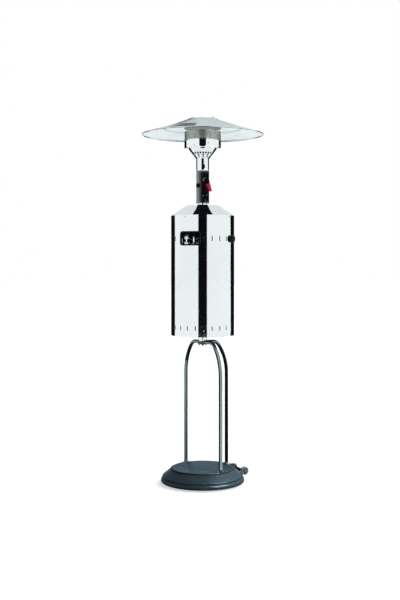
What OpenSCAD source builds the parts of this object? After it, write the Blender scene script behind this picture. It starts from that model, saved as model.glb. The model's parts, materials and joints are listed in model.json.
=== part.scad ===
// Mushroom patio heater: a round weighted base with two wheels, three bent tube legs, a post,
// a bottle housing that slides and turns on the post, gas controls, a burner and a reflector.
// Millimetres, +Z up, origin on the floor under the middle of the base. The front looks along -Y.
// An azimuth is measured from the front towards +X.

/* [Base] */
// Radius of the base at its widest
base_r = 250; // [235:1:280]
// Height of the platform that the gas bottle stands on
platform_z = 92; // [88:1:110]
// Radius of the platform
platform_r = 188; // [186:1:200]
// Thickness of the platform's sheet
platform_sheet = 2.5; // [2:0.1:4]
// Depth of the platform's turned-down skirt
platform_skirt_h = 15; // [12:1:18]
// Radius of the platform's rounded edge
platform_edge_r = 4; // [3:0.5:5]
// Wall of the base cover
cover_wall = 2.5; // [2:0.1:3.5]
// Width of the groove between platform and cover
groove_w = 2; // [1:0.5:4]
// Drop from the platform down to the cover's inner lip
lip_drop = 8; // [5:1:10]
// Width of the cover's ledge under the platform
ledge_w = 9; // [6:1:12]
// Height of the rim's widest line above the floor
rim_mid_z = 21; // [20:1:23]
// Width of the curve above the rim's widest line
rim_curve_w = 16; // [15:1:17]
// Height of the curve above the rim's widest line
rim_curve_h = 17; // [15:1:18]
// Radius of the curve under the rim
rim_low_r = 12; // [10:0.5:14]
// Width of the step between the rim and the cover's crown
rim_step = 9; // [8:0.5:10]
// Height of the crown's rounded shoulder
crown_low_z = 44; // [43:1:48]
// Radius of the crown's rounded shoulder
shoulder_r = 4; // [3:0.5:5]
// Radius of the four rubber feet
foot_r = 14; // [10:1:20]
// Height of the rubber feet
foot_h = 9; // [5:0.5:9]
// Distance of the feet from the middle
foot_circle_r = 200; // [150:1:215]
// Thickness of the base pan
pan_sheet = 2; // [1.5:0.1:3]
// Gap between the ballast slab and the cover's rim
slab_margin = 25; // [18:1:40]
// Height of the slab's edge
slab_edge_h = 27; // [20:1:30]

/* [Legs] */
// Outer radius of a leg tube
tube_r = 11; // [9:0.5:12]
// Wall of a leg tube
tube_wall = 1.5; // [1:0.1:2.5]
// Distance of the upright leg from the middle
leg_circle_r = 172; // [160:1:172]
// Height of the legs' horizontal arms
arm_z = 842.5; // [800:0.5:842.5]
// Radius of a leg's long bend
long_bend_r = 290; // [240:5:320]
// Radius of a leg's tight bend
tight_bend_r = 52; // [40:1:60]
// Azimuth of the front right leg
leg_azimuth = 37.5; // [30:0.5:45]
// Azimuth of the rear left leg
leg_left_azimuth = 216.7; // [210:0.1:222]
// Thickness of a leg's foot plate
foot_plate_t = 2.5; // [2:0.5:4]
// Half the distance between the two screws of a foot plate
foot_screw_x = 18; // [17:0.5:20]
// Radius of the round ends of a foot plate
foot_plate_r = 11; // [9:0.5:11]
// Height of the spigot that enters a leg tube
foot_spigot_h = 14; // [8:1:20]
// Radius of a foot screw
foot_screw_r = 3; // [2.5:0.5:4]
// Length of a foot screw under the platform
foot_screw_l = 32; // [20:1:40]
// Radius of a foot screw's head
foot_head_r = 5; // [4.5:0.5:5.5]
// Height of a foot screw's head
foot_head_h = 3.5; // [2:0.5:4]

/* [Post and hub] */
// Outer radius of the post
post_r = 25.4; // [22:0.1:27]
// Wall of the post
post_wall = 1.5; // [1:0.1:2.5]
// Length of post inside the control cylinder
post_entry = 57; // [40:1:60]
// Wall of the hub that takes the post
hub_wall = 3.6; // [3:0.1:5]
// Height of the hub
hub_h = 20; // [18:1:24]
// Thickness of the hub's floor
hub_floor = 4; // [3:0.5:6]
// Depth of the plug in the post's lower end
plug_h = 18; // [14:1:24]
// Radius of the hub bolts
hub_bolt_r = 3; // [2.5:0.5:3.5]
// Distance of the hub bolts from the middle
hub_bolt_circle_r = 19.5; // [18.5:0.5:20]
// Length of the hub bolts in the plug
hub_bolt_grip = 14; // [8:1:16]
// Width across the corners of a hub bolt's head
hub_bolt_head_d = 12; // [10:0.5:13]
// Height of a hub bolt's head
hub_bolt_head_h = 5.3; // [4:0.1:6]
// Radius of the gas inlet's threaded end
inlet_r = 6.55; // [5:0.05:6.6]
// Length of the gas inlet under the hub
inlet_l = 10; // [8:1:16]
// Radius of the gas inlet's collar
inlet_collar_r = 9; // [8:0.5:11]
// Height of the gas inlet's collar
inlet_collar_h = 8; // [5:1:10]
// Radius of the gas pipe
pipe_r = 5; // [4:0.5:6]
// Wall of the gas pipe
pipe_wall = 1.2; // [0.8:0.1:1.5]

/* [Wheels] */
// Azimuth of the rear right leg and of the wheel bracket behind it
wheel_azimuth = 122.5; // [120:0.5:135]
// Radius of a wheel
wheel_r = 25; // [22:1:28]
// Width of a wheel
wheel_w = 22; // [16:1:26]
// Distance of the axle from the base's rim
axle_overhang = 14; // [12:1:25]
// Height of the axle
axle_z = 50; // [46:1:56]
// Radius of the axle
axle_r = 4; // [3:0.5:5]
// Half the distance between the wheels
wheel_y = 60; // [56:1:80]
// Radius of the bracket's barrel round the axle
barrel_r = 8; // [7:0.5:9]
// Sheet of the wheel bracket
bracket_sheet = 3; // [2.5:0.5:4]
// Width of the wheel bracket
bracket_w = 56; // [50:1:62]
// Distance from the base's rim at which the bracket bends down
bracket_bend_in = 45; // [42:1:46]
// Distance from the base's rim at which the bracket turns out to the axle
bracket_step_in = 28; // [26:1:30]
// Height at which the bracket turns out to the axle
bracket_step_z = 74; // [73:0.5:76]
// Height of the pad that rests on the rim
pad_h = 24; // [16:1:26]
// Radius of an axle cap
axle_cap_r = 8; // [6:0.5:10]
// Thickness of an axle cap
axle_cap_t = 3.5; // [2:0.5:5]
// Radius of the recess in a wheel's side
wheel_recess_r = 15; // [12:1:18]
// Depth of the recess in a wheel's side
wheel_recess_d = 3; // [1:0.5:5]

/* [Housing] */
// Outer radius of the housing
housing_r = 189; // [187.5:0.5:200]
// Sheet of the housing
housing_sheet = 1; // [0.8:0.1:1.5]
// Height of the housing's lower edge over the arms when it is pushed up
housing_lift = 42; // [40:0.5:60]
// Height of the housing's cylinder
housing_h = 700.5; // [650:0.5:704]
// Height of the cone's straight skirt
cone_skirt_h = 13; // [10:1:20]
// Height of the cone
cone_h = 61; // [40:1:70]
// Radius of the cone's flat top
cone_top_r = 100; // [80:1:120]
// Number of slots in a full row
slot_count = 24; // [18:1:30]
// Width of a slot
slot_w = 6; // [4:0.5:8]
// Height of a slot
slot_h = 31; // [24:1:36]
// Distance of the upper row's middle from the seam
slot_high_drop = 126; // [100:0.5:150]
// Distance of the lower row's middle from the lower edge
slot_low_rise = 49.5; // [30:0.5:70]
// Azimuth of the first slot
slot_azimuth = 2; // [0:0.5:4]
// Azimuth of the valve window's middle
window_azimuth = -23.8; // [-35:0.1:-20]
// Width of the window's bezel
window_w = 132.6; // [120:0.2:136]
// Height of the window's bezel
window_h = 84; // [70:1:96]
// Corner radius of the window's bezel
window_corner_r = 17; // [14:0.5:22]
// Width of the bezel's frame
bezel_w = 9; // [7:0.5:12]
// Width of the bezel's lip on the shell
bezel_lip = 4.5; // [3:0.5:6]
// How far the bezel stands out of the shell
bezel_proud = 2.5; // [1.5:0.5:4]
// How far the bezel reaches inside the shell
bezel_inside = 1.5; // [1:0.1:1.5]
// Azimuth of the grip knob
grip_azimuth = 62; // [50:1:65]
// Radius of the grip knob
grip_r = 21; // [16:0.5:24]
// How far the grip knob stands out
grip_proud = 20; // [14:0.5:26]
// Radius of the screw that holds the grip knob
grip_screw_r = 4; // [3:0.5:5]
// Height of the ring that joins shell and cone
joint_ring_h = 26; // [20:1:30]
// Thickness of the ring that joins shell and cone
joint_ring_t = 1.4; // [1:0.1:1.5]
// Azimuth of the first housing screw; four stand at right angles
housing_screw_azimuth = -34; // [-40:1:-30]
// Radius of a housing screw
housing_screw_r = 2; // [1.5:0.5:2.5]
// Radius of the guide bush's barrel
bush_r = 30.5; // [29.5:0.5:34]
// Radius of the guide bush's flange
bush_flange_r = 42; // [38:1:50]
// Thickness of the guide bush's flange
bush_flange_t = 4.5; // [3:0.5:5]
// Radius of the guide nut
guide_nut_r = 37; // [35:1:42]
// Thickness of the guide nut
guide_nut_t = 4; // [3:0.5:4.5]

/* [Controls] */
// Radius of the control cylinder
control_r = 39; // [37:0.5:42]
// Wall of the control cylinder
control_wall = 1.5; // [1:0.1:2]
// Distance of the control cylinder from the pushed-up cone
control_gap = 14; // [12:1:20]
// Height of the control cylinder
control_h = 195; // [185:1:205]
// Thickness of the flanges of the control rings
control_flange_t = 4; // [3:0.5:6]
// Depth of the control rings' spigots
control_spigot_h = 20; // [14:1:28]
// Height of the control knob in the cylinder
knob_rise = 128; // [118:1:130]
// Azimuth of the control knob
knob_azimuth = 29.5; // [28:0.5:50]
// Radius of the knob's hub
knob_r = 15; // [13:0.5:17]
// Height of the knob's hub
knob_h = 15; // [12:0.5:20]
// Distance of the knob's back from the middle of the cylinder
knob_back_u = 44; // [43.5:0.5:48]
// Travel of the knob when it is pushed
knob_travel = 4; // [2:0.5:4]
// Length of the red lever from the knob's middle
lever_l = 65; // [50:1:80]
// Width of the red lever at the hub
lever_w = 25; // [16:0.5:27]
// Width of the red lever at its tip
lever_tip_w = 19; // [9:0.5:20]
// Thickness of the red lever
lever_t = 9; // [6:0.5:11]
// Angle of the red lever from straight down
lever_a = 27.5; // [20:0.5:45]
// Radius of the valve spindle
spindle_r = 4; // [3:0.5:5]
// Height of the igniter in the cylinder
igniter_rise = 106; // [102:1:110]
// Azimuth of the igniter
igniter_azimuth = -44; // [-50:1:-40]
// Radius of the igniter's ring
igniter_ring_r = 13.5; // [13:0.5:19]
// Radius of the igniter's button
igniter_button_r = 9; // [8:0.5:12]
// How far the igniter's button stands out of its ring
igniter_button_h = 6; // [5.5:0.5:8]
// Travel of the igniter's button
igniter_travel = 5; // [3:0.5:5]
// Wall of the igniter's barrel
igniter_wall = 1.5; // [1:0.1:2]

/* [Burner] */
// Radius of the neck tube
neck_r = 38.5; // [36:0.5:39]
// Height of the neck tube
neck_h = 72; // [60:1:90]
// Sheet of the neck, funnel and drum
burner_sheet = 1.2; // [0.8:0.1:1.5]
// Azimuth of the viewing slot in the neck
sight_azimuth = 14; // [0:1:30]
// Height of the viewing slot's middle in the neck
sight_rise = 24; // [18:1:36]
// Radius of the viewing slot's two lobes
sight_r = 5.5; // [4:0.5:7]
// Distance between the viewing slot's two lobes
sight_pitch = 14; // [11:0.5:18]
// Radius of the funnel's upper end
funnel_r = 82; // [74:1:90]
// Height of the funnel's cone
funnel_h = 54; // [45:1:65]
// Number of vent holes in the funnel's upper row
vent_count = 24; // [18:2:30]
// Azimuth of the first vent hole
vent_azimuth = 3; // [0:0.5:7]
// Distance of the upper vents from the cone's upper end
vent_high_drop = 22; // [16:1:24]
// Distance of the middle vents from the cone's upper end
vent_mid_drop = 34; // [30:1:38]
// Distance of the lower vents from the cone's upper end
vent_low_drop = 44.5; // [42:0.5:47]
// Radius of the drum
drum_r = 110; // [104:1:118]
// Height of the funnel's straight collar
funnel_collar_h = 6; // [4:1:10]
// Radius of the drum's lower corner
drum_corner_r = 8; // [5:0.5:12]
// Height of the drum's band
drum_h = 55; // [48:1:62]
// Height of the mesh above the band
mesh_h = 53; // [40:1:70]
// Sheet of the emitter mesh
mesh_sheet = 1; // [0.8:0.1:1.4]
// Width of the mesh drum's upper flange
mesh_flange_w = 34; // [30:1:40]
// Radius of the mesh drum's upper corner
mesh_corner_r = 8; // [5:0.5:10]
// Radius of the deflector plate
deflector_r = 112; // [100:1:120]
// Gap between mesh and deflector plate
deflector_gap = 14; // [10:1:24]
// Thickness of the deflector plate
deflector_t = 3; // [2:0.5:4]
// Radius of the mixing tube
mixer_r = 14; // [12:0.5:16]
// Wall of the mixing tube
mixer_wall = 1.2; // [0.8:0.1:1.5]
// Radius of the burner head's cup
head_r = 56; // [50:1:60]
// Height of the burner head's cup
head_h = 20; // [14:1:24]
// Radius of the thermocouple
thermocouple_r = 2; // [1.5:0.1:2.5]
// Radius of the spark electrode
electrode_r = 2.5; // [2:0.1:3]
// Azimuth of the first drum screw; four stand at right angles
drum_screw_azimuth = -26.5; // [-32:0.5:-20]
// Height in the drum of the screws that carry the burner head
drum_screw_rise = 13; // [12.5:0.5:16]
// Radius of the drum screws
drum_screw_r = 2; // [1.5:0.1:2.5]

/* [Reflector] */
// Radius of the reflector's rim
rim_r = 365; // [340:1:400]
// Height of the brim
brim_h = 36; // [28:1:44]
// Radius of the ring where brim and dome meet
brim_in_r = 236; // [220:1:250]
// Height of the dome from brim to flat top
dome_h = 51; // [40:1:62]
// Radius of the dome's flat top
dome_top_r = 92; // [90:1:100]
// Length of the spacers between deflector plate and dome
upper_spacer_h = 49; // [40:1:60]
// Radius of the hole in the dome's flat top
dome_hole_r = 60; // [40:1:70]
// Sheet of the reflector
reflector_sheet = 1; // [0.8:0.1:1.2]
// Radius of the rolled rim
hem_r = 2.5; // [2:0.1:3.5]
// Half the angle by which neighbouring segments overlap
lap_a = 4.4; // [3:0.2:6]
// Gap between lapped sheets
lap_gap = 0.2; // [0.1:0.1:0.4]
// Distance of the studs from the middle
stud_circle_r = 85; // [82:0.5:86]
// Radius of the studs
stud_r = 3; // [2.5:0.5:4]
// Radius of the spacers on the studs
spacer_r = 5; // [4.5:0.5:6]
// Thickness of the top cap
cap_t = 1.5; // [1:0.1:2.5]
// Height of the cap nuts
cap_nut_h = 7; // [6:0.5:9]
// Width across the corners of the cap nuts
cap_nut_d = 11.5; // [11:0.5:13]
// Radius of the rivets in the laps
rivet_r = 2; // [1.5:0.5:2.5]
// Distance of the outer rivets from the middle
rivet_out_r = 300; // [270:1:320]
// Distance of the inner rivets from the middle
rivet_in_r = 170; // [140:1:200]

/* [Hidden] */
$fn = 96;
eps = 0.01;
// Radial clearance of a shaft in its bore, and of a spigot in its tube
fit = 0.05;
// Space between parts that lie close without touching
seat = 0.3;
// Radial clearance of a screw in a sheet
screw_gap = 0.2;
curve_steps = 10;

satin_grey = [0.42, 0.45, 0.47];
slate = [0.16, 0.20, 0.23];
dark = [0.08, 0.08, 0.09];
polished = [0.86, 0.88, 0.89];
pale_metal = [0.80, 0.84, 0.84];
brass_tone = [0.78, 0.62, 0.32];
red_tone = [0.80, 0.07, 0.16];
wheel_grey = [0.55, 0.57, 0.58];
stone_grey = [0.55, 0.54, 0.52];

// Heights of the base, from the floor up
pan_z = foot_h;
slab_z = pan_z + pan_sheet;
slab_top_z = platform_z - platform_sheet;
skirt_z = platform_z - platform_skirt_h;
ledge_z = skirt_z - seat;
lip_z = platform_z - lip_drop;
// Radii of the base
lip_in_r = platform_r + groove_w;
lip_out_r = lip_in_r + cover_wall;
ledge_in_r = lip_in_r - ledge_w;
plateau_r = ledge_in_r - 1;
cover_floor_r = base_r - rim_low_r - 12;
pan_r = base_r - rim_low_r - 1;
slab_r = base_r - slab_margin;
// The rim's curve ends under the crown at this angle
rim_end_a = 76;
rim_centre_r = base_r - rim_curve_w;
rim_end_x = rim_centre_r + rim_curve_w * cos(rim_end_a);
rim_in_x = rim_end_x - cover_wall;
rim_in_a = acos((rim_in_x - rim_centre_r) / (rim_curve_w - cover_wall));
// The crown runs straight from the lip down to its shoulder
shoulder_x = base_r - rim_step - shoulder_r;
shoulder_from_a = -20;
shoulder_to_a = 52;
slope_low_x = shoulder_x + shoulder_r * cos(shoulder_to_a);
slope_low_z = crown_low_z + shoulder_r * sin(shoulder_to_a);
slope = (lip_z - slope_low_z) / (slope_low_x - lip_out_r);
inner_top_z = lip_z - cover_wall * sqrt(1 + slope * slope);
inner_low_z = inner_top_z - (rim_in_x - lip_out_r) * slope;
// The split line of the platform runs across this side
split_azimuth = -35;
split_x = 47;
split_w = 1.6;
split_d = 0.8;

// Legs
leg_azimuths = [leg_azimuth, wheel_azimuth, leg_left_azimuth];
foot_plate_z = platform_z;
leg_low_z = foot_plate_z + foot_plate_t;
// The long bend ends at the slope of a 3-4-5 triangle, so that the two bends meet exactly
bend_run = 4;
bend_rise = 3;
bend_slant = 5;
bend_reach = 100;
bend_low_z = arm_z - tight_bend_r - (long_bend_r - tight_bend_r) * bend_rise / bend_slant;
tight_x = leg_circle_r - long_bend_r + (long_bend_r - tight_bend_r) * bend_run / bend_slant;
screw_hole_r = foot_screw_r + screw_gap;

// Hub and post
hub_r = post_r + fit + hub_wall;
hub_low_z = arm_z - tube_r - 1.5;
post_low_z = hub_low_z + hub_floor;
post_in_r = post_r - post_wall;
plug_r = post_in_r - fit;
pipe_low_z = post_low_z + inlet_collar_h;
weld_gap = 0.2;

// Wheel bracket
axle_x = base_r + axle_overhang;
bracket_bend_x = base_r - bracket_bend_in;
flange_z = platform_z - platform_sheet - bracket_sheet;
flange_in_x = leg_circle_r - foot_plate_r - 3;
pad_x = base_r + seat;
pad_low_z = rim_mid_z - 2;
wheel_in_y = wheel_y - wheel_w / 2;
wheel_out_y = wheel_y + wheel_w / 2;
recess_gap = 2 * seat;

// Heights, from the arms up
housing_low_z = arm_z + housing_lift;
housing_seam_z = housing_low_z + housing_h;
cone_low_z = housing_seam_z + cone_skirt_h;
cone_top_z = cone_low_z + cone_h;
control_low_z = cone_top_z + control_gap;
control_top_z = control_low_z + control_h;
neck_top_z = control_top_z + neck_h;
funnel_top_z = neck_top_z + funnel_h;
drum_low_z = funnel_top_z + funnel_collar_h;
mesh_low_z = drum_low_z + drum_h;
mesh_top_z = mesh_low_z + mesh_h;
deflector_z = mesh_top_z + deflector_gap;
dome_under_z = deflector_z + deflector_t + upper_spacer_h;
dome_top_z = dome_under_z + reflector_sheet;
brim_in_z = dome_top_z - dome_h;
rim_z = brim_in_z - brim_h;

// Controls
post_top_z = control_low_z + post_entry;
knob_z = control_low_z + knob_rise;
igniter_z = control_low_z + igniter_rise;
control_in_r = control_r - control_wall;
spigot_r = control_in_r - fit;
shoulder_z = control_low_z + control_flange_t;
sleeve_top_z = control_top_z - control_flange_t;
post_cap_t = 3;
bracket_plate_y = 17;
bracket_plate_t = 3;
bracket_plate_w = 28;
valve_r = 12;
valve_drop = 31;
valve_rise = 27;
valve_low_z = knob_z - valve_drop;
valve_top_z = knob_z + valve_rise;
outlet_r = 6;
outlet_h = 10;
boss_r = 10;
boss_u = 31;
spindle_in_u = 15;
spindle_out_u = knob_back_u + 6;
knob_bore_u = spindle_out_u + knob_travel + seat;
igniter_ring_u = control_r + 5;
igniter_in_u = 16.5;
igniter_barrel_r = igniter_button_r + fit + igniter_wall;
injector_h = 14;
mixer_low_z = valve_top_z + outlet_h + injector_h + 4;

// Burner
sight_z = control_top_z + sight_rise;
vent_high_z = funnel_top_z - vent_high_drop;
vent_mid_z = funnel_top_z - vent_mid_drop;
vent_low_z = funnel_top_z - vent_low_drop;
lighting_hole_a = 17.6;
lighting_hole_z = drum_low_z + 26;
drum_screw_z = drum_low_z + drum_screw_rise;
head_z = drum_screw_z + drum_screw_r + seat;
wick_x = 26;
wick_out_x = 68;
wick_bend_z = neck_top_z + 2;
wick_turn_z = drum_low_z + 4;
mesh_r = drum_r - burner_sheet - 2 * fit;
mesh_tail_h = 10;
mesh_flange_in_r = mesh_r - mesh_flange_w;
band_top_z = mesh_low_z;

// Reflector
lap_rise = reflector_sheet + lap_gap;
hem_end_a = 0.1;
cap_z = dome_top_z + lap_rise;
cap_top_z = cap_z + cap_t;
sheet_end_z = rim_z - hem_r / 4;
brim_a = atan2(brim_in_z - sheet_end_z, rim_r - hem_r - brim_in_r);
dome_a = atan2(dome_top_z - brim_in_z, brim_in_r - dome_top_r);

// Housing
slot_high_z = housing_seam_z - slot_high_drop;
slot_low_z = housing_low_z + slot_low_rise;
housing_in_r = housing_r - housing_sheet;
joint_ring_r = housing_in_r - fit;
joint_ring_low_z = cone_low_z - 2 - joint_ring_h;
screw_ring_z = housing_seam_z + 4.5;
bezel_in_w = window_w - 2 * bezel_w;
bezel_in_h = window_h - 2 * bezel_w;
opening_w = window_w - 2 * bezel_lip;
opening_h = window_h - 2 * bezel_lip;
cone_under_z = cone_top_z - housing_sheet;
bush_flange_z = cone_under_z - seat - bush_flange_t;
bush_low_z = bush_flange_z - 2;
guide_nut_z = cone_top_z + seat;
bush_top_z = guide_nut_z + guide_nut_t + 1.5;
// The window's middle lies a little above the slots
window_z = slot_high_z + 1.5;
window_half_a = asin((window_w / 2 + slot_w) / housing_r);
grip_half_a = asin((grip_r + slot_w) / housing_r);

// Points of an elliptic arc, for profiles
function arc_points(x, z, rx, rz, from, to) =
  [for (i = [0:curve_steps]) let (a = from + (to - from) * i / curve_steps) [x + rx * cos(a), z + rz * sin(a)]];

// Turns an azimuth's direction onto +X
module at_azimuth(azimuth) {
  rotate([0, 0, azimuth - 90]) children();
}

// A cylinder that points away from the main axis
module radial_rod(azimuth, z, from_u, to_u, r) {
  at_azimuth(azimuth)
    translate([from_u, 0, z])
      rotate([0, 90, 0])
        cylinder(h = to_u - from_u, r = r);
}

module tube(outer_r, inner_r, low_z, top_z) {
  translate([0, 0, low_z])
    difference() {
      cylinder(h = top_z - low_z, r = outer_r);
      translate([0, 0, -1]) cylinder(h = top_z - low_z + 2, r = inner_r);
    }
}

// A screw with its head on top, the head's seat at z = 0
module screw(shank_r, shank_l, head_r, head_h) {
  translate([0, 0, -shank_l]) cylinder(h = shank_l + eps, r = shank_r);
  cylinder(h = head_h, r = head_r);
}

module at_leg_feet() {
  for (a = leg_azimuths)
    at_azimuth(a) translate([leg_circle_r, 0, 0]) children();
}

module at_foot_screws() {
  at_leg_feet()
    for (side = [-1, 1]) translate([0, side * foot_screw_x, 0]) children();
}

// Base

module base_pan() {
  color(slate)
    difference() {
      translate([0, 0, pan_z]) cylinder(h = pan_sheet, r = pan_r);
      for (k = [0:3])
        at_azimuth(45 + 90 * k)
          translate([foot_circle_r, 0, pan_z - 1]) cylinder(h = pan_sheet + 2, r = foot_r / 3 + fit);
    }
}

module rubber_feet() {
  color(dark)
    for (k = [0:3])
      at_azimuth(45 + 90 * k)
        translate([foot_circle_r, 0, 0]) {
          cylinder(h = foot_h, r = foot_r);
          cylinder(h = foot_h + pan_sheet, r = foot_r / 3);
        }
}

module ballast_slab() {
  color(stone_grey)
    difference() {
      rotate_extrude()
        polygon([
          [0, slab_z], [slab_r, slab_z], [slab_r, slab_z + slab_edge_h],
          [lip_out_r + 2, ledge_z - cover_wall - 2], [lip_out_r, ledge_z - cover_wall],
          [plateau_r, ledge_z - cover_wall], [plateau_r, slab_top_z], [0, slab_top_z]
        ]);
      at_foot_screws()
        translate([0, 0, platform_z - foot_screw_l - 1]) cylinder(h = foot_screw_l + 2, r = foot_screw_r + fit);
      at_azimuth(wheel_azimuth)
        translate([flange_in_x - seat, -bracket_w / 2 - seat, flange_z])
          cube([platform_r, bracket_w + 2 * seat, platform_z]);
    }
}

module base_cover() {
  color(slate)
    difference() {
      rotate_extrude()
        polygon(concat(
          [[cover_floor_r, pan_z], [cover_floor_r, pan_z - cover_wall]],
          arc_points(base_r - rim_low_r, pan_z - cover_wall + rim_low_r, rim_low_r, rim_low_r, -90, 0),
          arc_points(rim_centre_r, rim_mid_z, rim_curve_w, rim_curve_h, 0, rim_end_a),
          arc_points(shoulder_x, crown_low_z, shoulder_r, shoulder_r, shoulder_from_a, shoulder_to_a),
          [[lip_out_r, lip_z], [lip_in_r, lip_z], [lip_in_r, ledge_z], [ledge_in_r, ledge_z],
           [ledge_in_r, ledge_z - cover_wall], [lip_out_r, ledge_z - cover_wall],
           [lip_out_r, inner_top_z], [rim_in_x, inner_low_z]],
          arc_points(rim_centre_r, rim_mid_z, rim_curve_w - cover_wall, rim_curve_h - cover_wall, rim_in_a, 0),
          arc_points(base_r - rim_low_r, pan_z - cover_wall + rim_low_r, rim_low_r - cover_wall, rim_low_r - cover_wall, 0, -90)
        ));
      at_azimuth(wheel_azimuth)
        translate([ledge_in_r - 5, -bracket_w / 2 - seat, flange_z - seat])
          cube([platform_r, bracket_w + 2 * seat, platform_z]);
    }
}

module top_plate() {
  inner_edge_r = platform_edge_r - platform_sheet;
  color(slate)
    difference() {
      rotate_extrude()
        polygon(concat(
          [[0, platform_z]],
          arc_points(platform_r - platform_edge_r, platform_z - platform_edge_r, platform_edge_r, platform_edge_r, 90, 0),
          [[platform_r, skirt_z], [platform_r - platform_sheet, skirt_z]],
          arc_points(platform_r - platform_edge_r, platform_z - platform_edge_r, inner_edge_r, inner_edge_r, 0, 90),
          [[0, slab_top_z]]
        ));
      at_foot_screws()
        translate([0, 0, slab_top_z - 1]) cylinder(h = platform_sheet + 2, r = screw_hole_r);
      at_azimuth(wheel_azimuth)
        translate([plateau_r, -bracket_w / 2 - seat, skirt_z - 1])
          cube([platform_r, bracket_w + 2 * seat, slab_top_z - skirt_z + 1]);
      at_azimuth(split_azimuth)
        translate([split_x, -platform_r, platform_z - split_d])
          cube([split_w, 2 * platform_r, split_d + 1]);
    }
}

// Legs

module foot_plate_outline() {
  union() {
    square([2 * foot_plate_r, 2 * foot_screw_x], center = true);
    for (side = [-1, 1]) translate([0, side * foot_screw_x]) circle(r = foot_plate_r);
  }
}

module leg_feet() {
  color(satin_grey)
    at_leg_feet()
      difference() {
        union() {
          translate([0, 0, foot_plate_z]) linear_extrude(height = foot_plate_t) foot_plate_outline();
          translate([0, 0, foot_plate_z]) cylinder(h = foot_plate_t + foot_spigot_h, r = tube_r - tube_wall - fit);
        }
        for (side = [-1, 1])
          translate([0, side * foot_screw_x, foot_plate_z - 1]) cylinder(h = foot_plate_t + 2, r = screw_hole_r);
      }
}

module leg_foot_screws() {
  color(dark)
    at_foot_screws()
      translate([0, 0, leg_low_z])
        screw(foot_screw_r, foot_plate_t + foot_screw_l, foot_head_r, foot_head_h);
}

// The part of a ring of round bar that lies within a flat wedge
module bend(bend_r, r, wedge) {
  rotate([90, 0, 0])
    intersection() {
      rotate_extrude() translate([bend_r, 0]) circle(r = r);
      translate([0, 0, -2 * tube_r]) linear_extrude(height = 4 * tube_r) polygon(wedge);
    }
}

// The solid path of a leg in the plane of its azimuth, up the leg and in along its arm
module leg_path(r) {
  corner = [bend_reach * bend_run, bend_reach * bend_rise];
  translate([leg_circle_r, 0, leg_low_z]) cylinder(h = bend_low_z - leg_low_z, r = r);
  translate([leg_circle_r - long_bend_r, 0, bend_low_z]) bend(long_bend_r, r, [[0, 0], [corner[0], 0], corner]);
  translate([tight_x, 0, arm_z - tight_bend_r]) bend(tight_bend_r, r, [[0, 0], corner, [0, corner[1]]]);
  translate([0, 0, arm_z]) rotate([0, 90, 0]) cylinder(h = tight_x, r = r);
}

module leg(k) {
  color(satin_grey)
    at_azimuth(leg_azimuths[k])
      difference() {
        leg_path(tube_r);
        leg_path(tube_r - tube_wall);
        translate([0, 0, arm_z - 2 * tube_r]) cylinder(h = 4 * tube_r, r = hub_r + weld_gap);
      }
}

module leg_hub() {
  color(satin_grey)
    difference() {
      translate([0, 0, hub_low_z]) cylinder(h = hub_h, r = hub_r);
      translate([0, 0, post_low_z]) cylinder(h = hub_h, r = post_r + fit);
      translate([0, 0, hub_low_z - 1]) cylinder(h = hub_floor + 2, r = inlet_r + screw_gap);
      at_hub_bolts() translate([0, 0, hub_low_z - 1]) cylinder(h = hub_floor + 2, r = hub_bolt_r + screw_gap);
    }
}

module at_hub_bolts() {
  for (side = [-1, 1]) translate([side * hub_bolt_circle_r, 0, 0]) children();
}

module hub_bolts() {
  color(dark)
    at_hub_bolts() {
      translate([0, 0, hub_low_z - hub_bolt_head_h]) cylinder(h = hub_bolt_head_h, r = hub_bolt_head_d / 2, $fn = 6);
      translate([0, 0, hub_low_z - eps]) cylinder(h = hub_floor + hub_bolt_grip, r = hub_bolt_r);
    }
}

module post_end_plug() {
  color(pale_metal)
    difference() {
      translate([0, 0, post_low_z]) cylinder(h = plug_h, r = plug_r);
      translate([0, 0, post_low_z - 1]) cylinder(h = inlet_collar_h + 1, r = inlet_collar_r + fit);
      translate([0, 0, post_low_z]) cylinder(h = plug_h + 1, r = pipe_r + screw_gap);
      at_hub_bolts() translate([0, 0, post_low_z - 1]) cylinder(h = hub_bolt_grip + 2, r = hub_bolt_r + fit);
    }
}

module post() {
  color(polished) tube(post_r, post_in_r, post_low_z, post_top_z);
}

module gas_inlet() {
  color(brass_tone)
    difference() {
      union() {
        translate([0, 0, hub_low_z - inlet_l]) cylinder(h = inlet_l + hub_floor + eps, r = inlet_r);
        translate([0, 0, post_low_z]) cylinder(h = inlet_collar_h, r = inlet_collar_r);
      }
      translate([0, 0, hub_low_z - inlet_l - 1])
        cylinder(h = inlet_l + hub_floor + inlet_collar_h + 2, r = pipe_r - pipe_wall);
    }
}

module gas_pipe() {
  color(brass_tone) tube(pipe_r, pipe_r - pipe_wall, pipe_low_z, valve_low_z);
}

// Wheels

module at_axle() {
  at_azimuth(wheel_azimuth) translate([axle_x, 0, axle_z]) rotate([90, 0, 0]) children();
}

// A bar of the bracket's sheet between two points of its profile
module bar(from, to) {
  along = to - from;
  translate(from)
    rotate(atan2(along[1], along[0]))
      translate([0, -bracket_sheet / 2]) square([norm(along), bracket_sheet]);
  translate(from) circle(r = bracket_sheet / 2);
}

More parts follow.
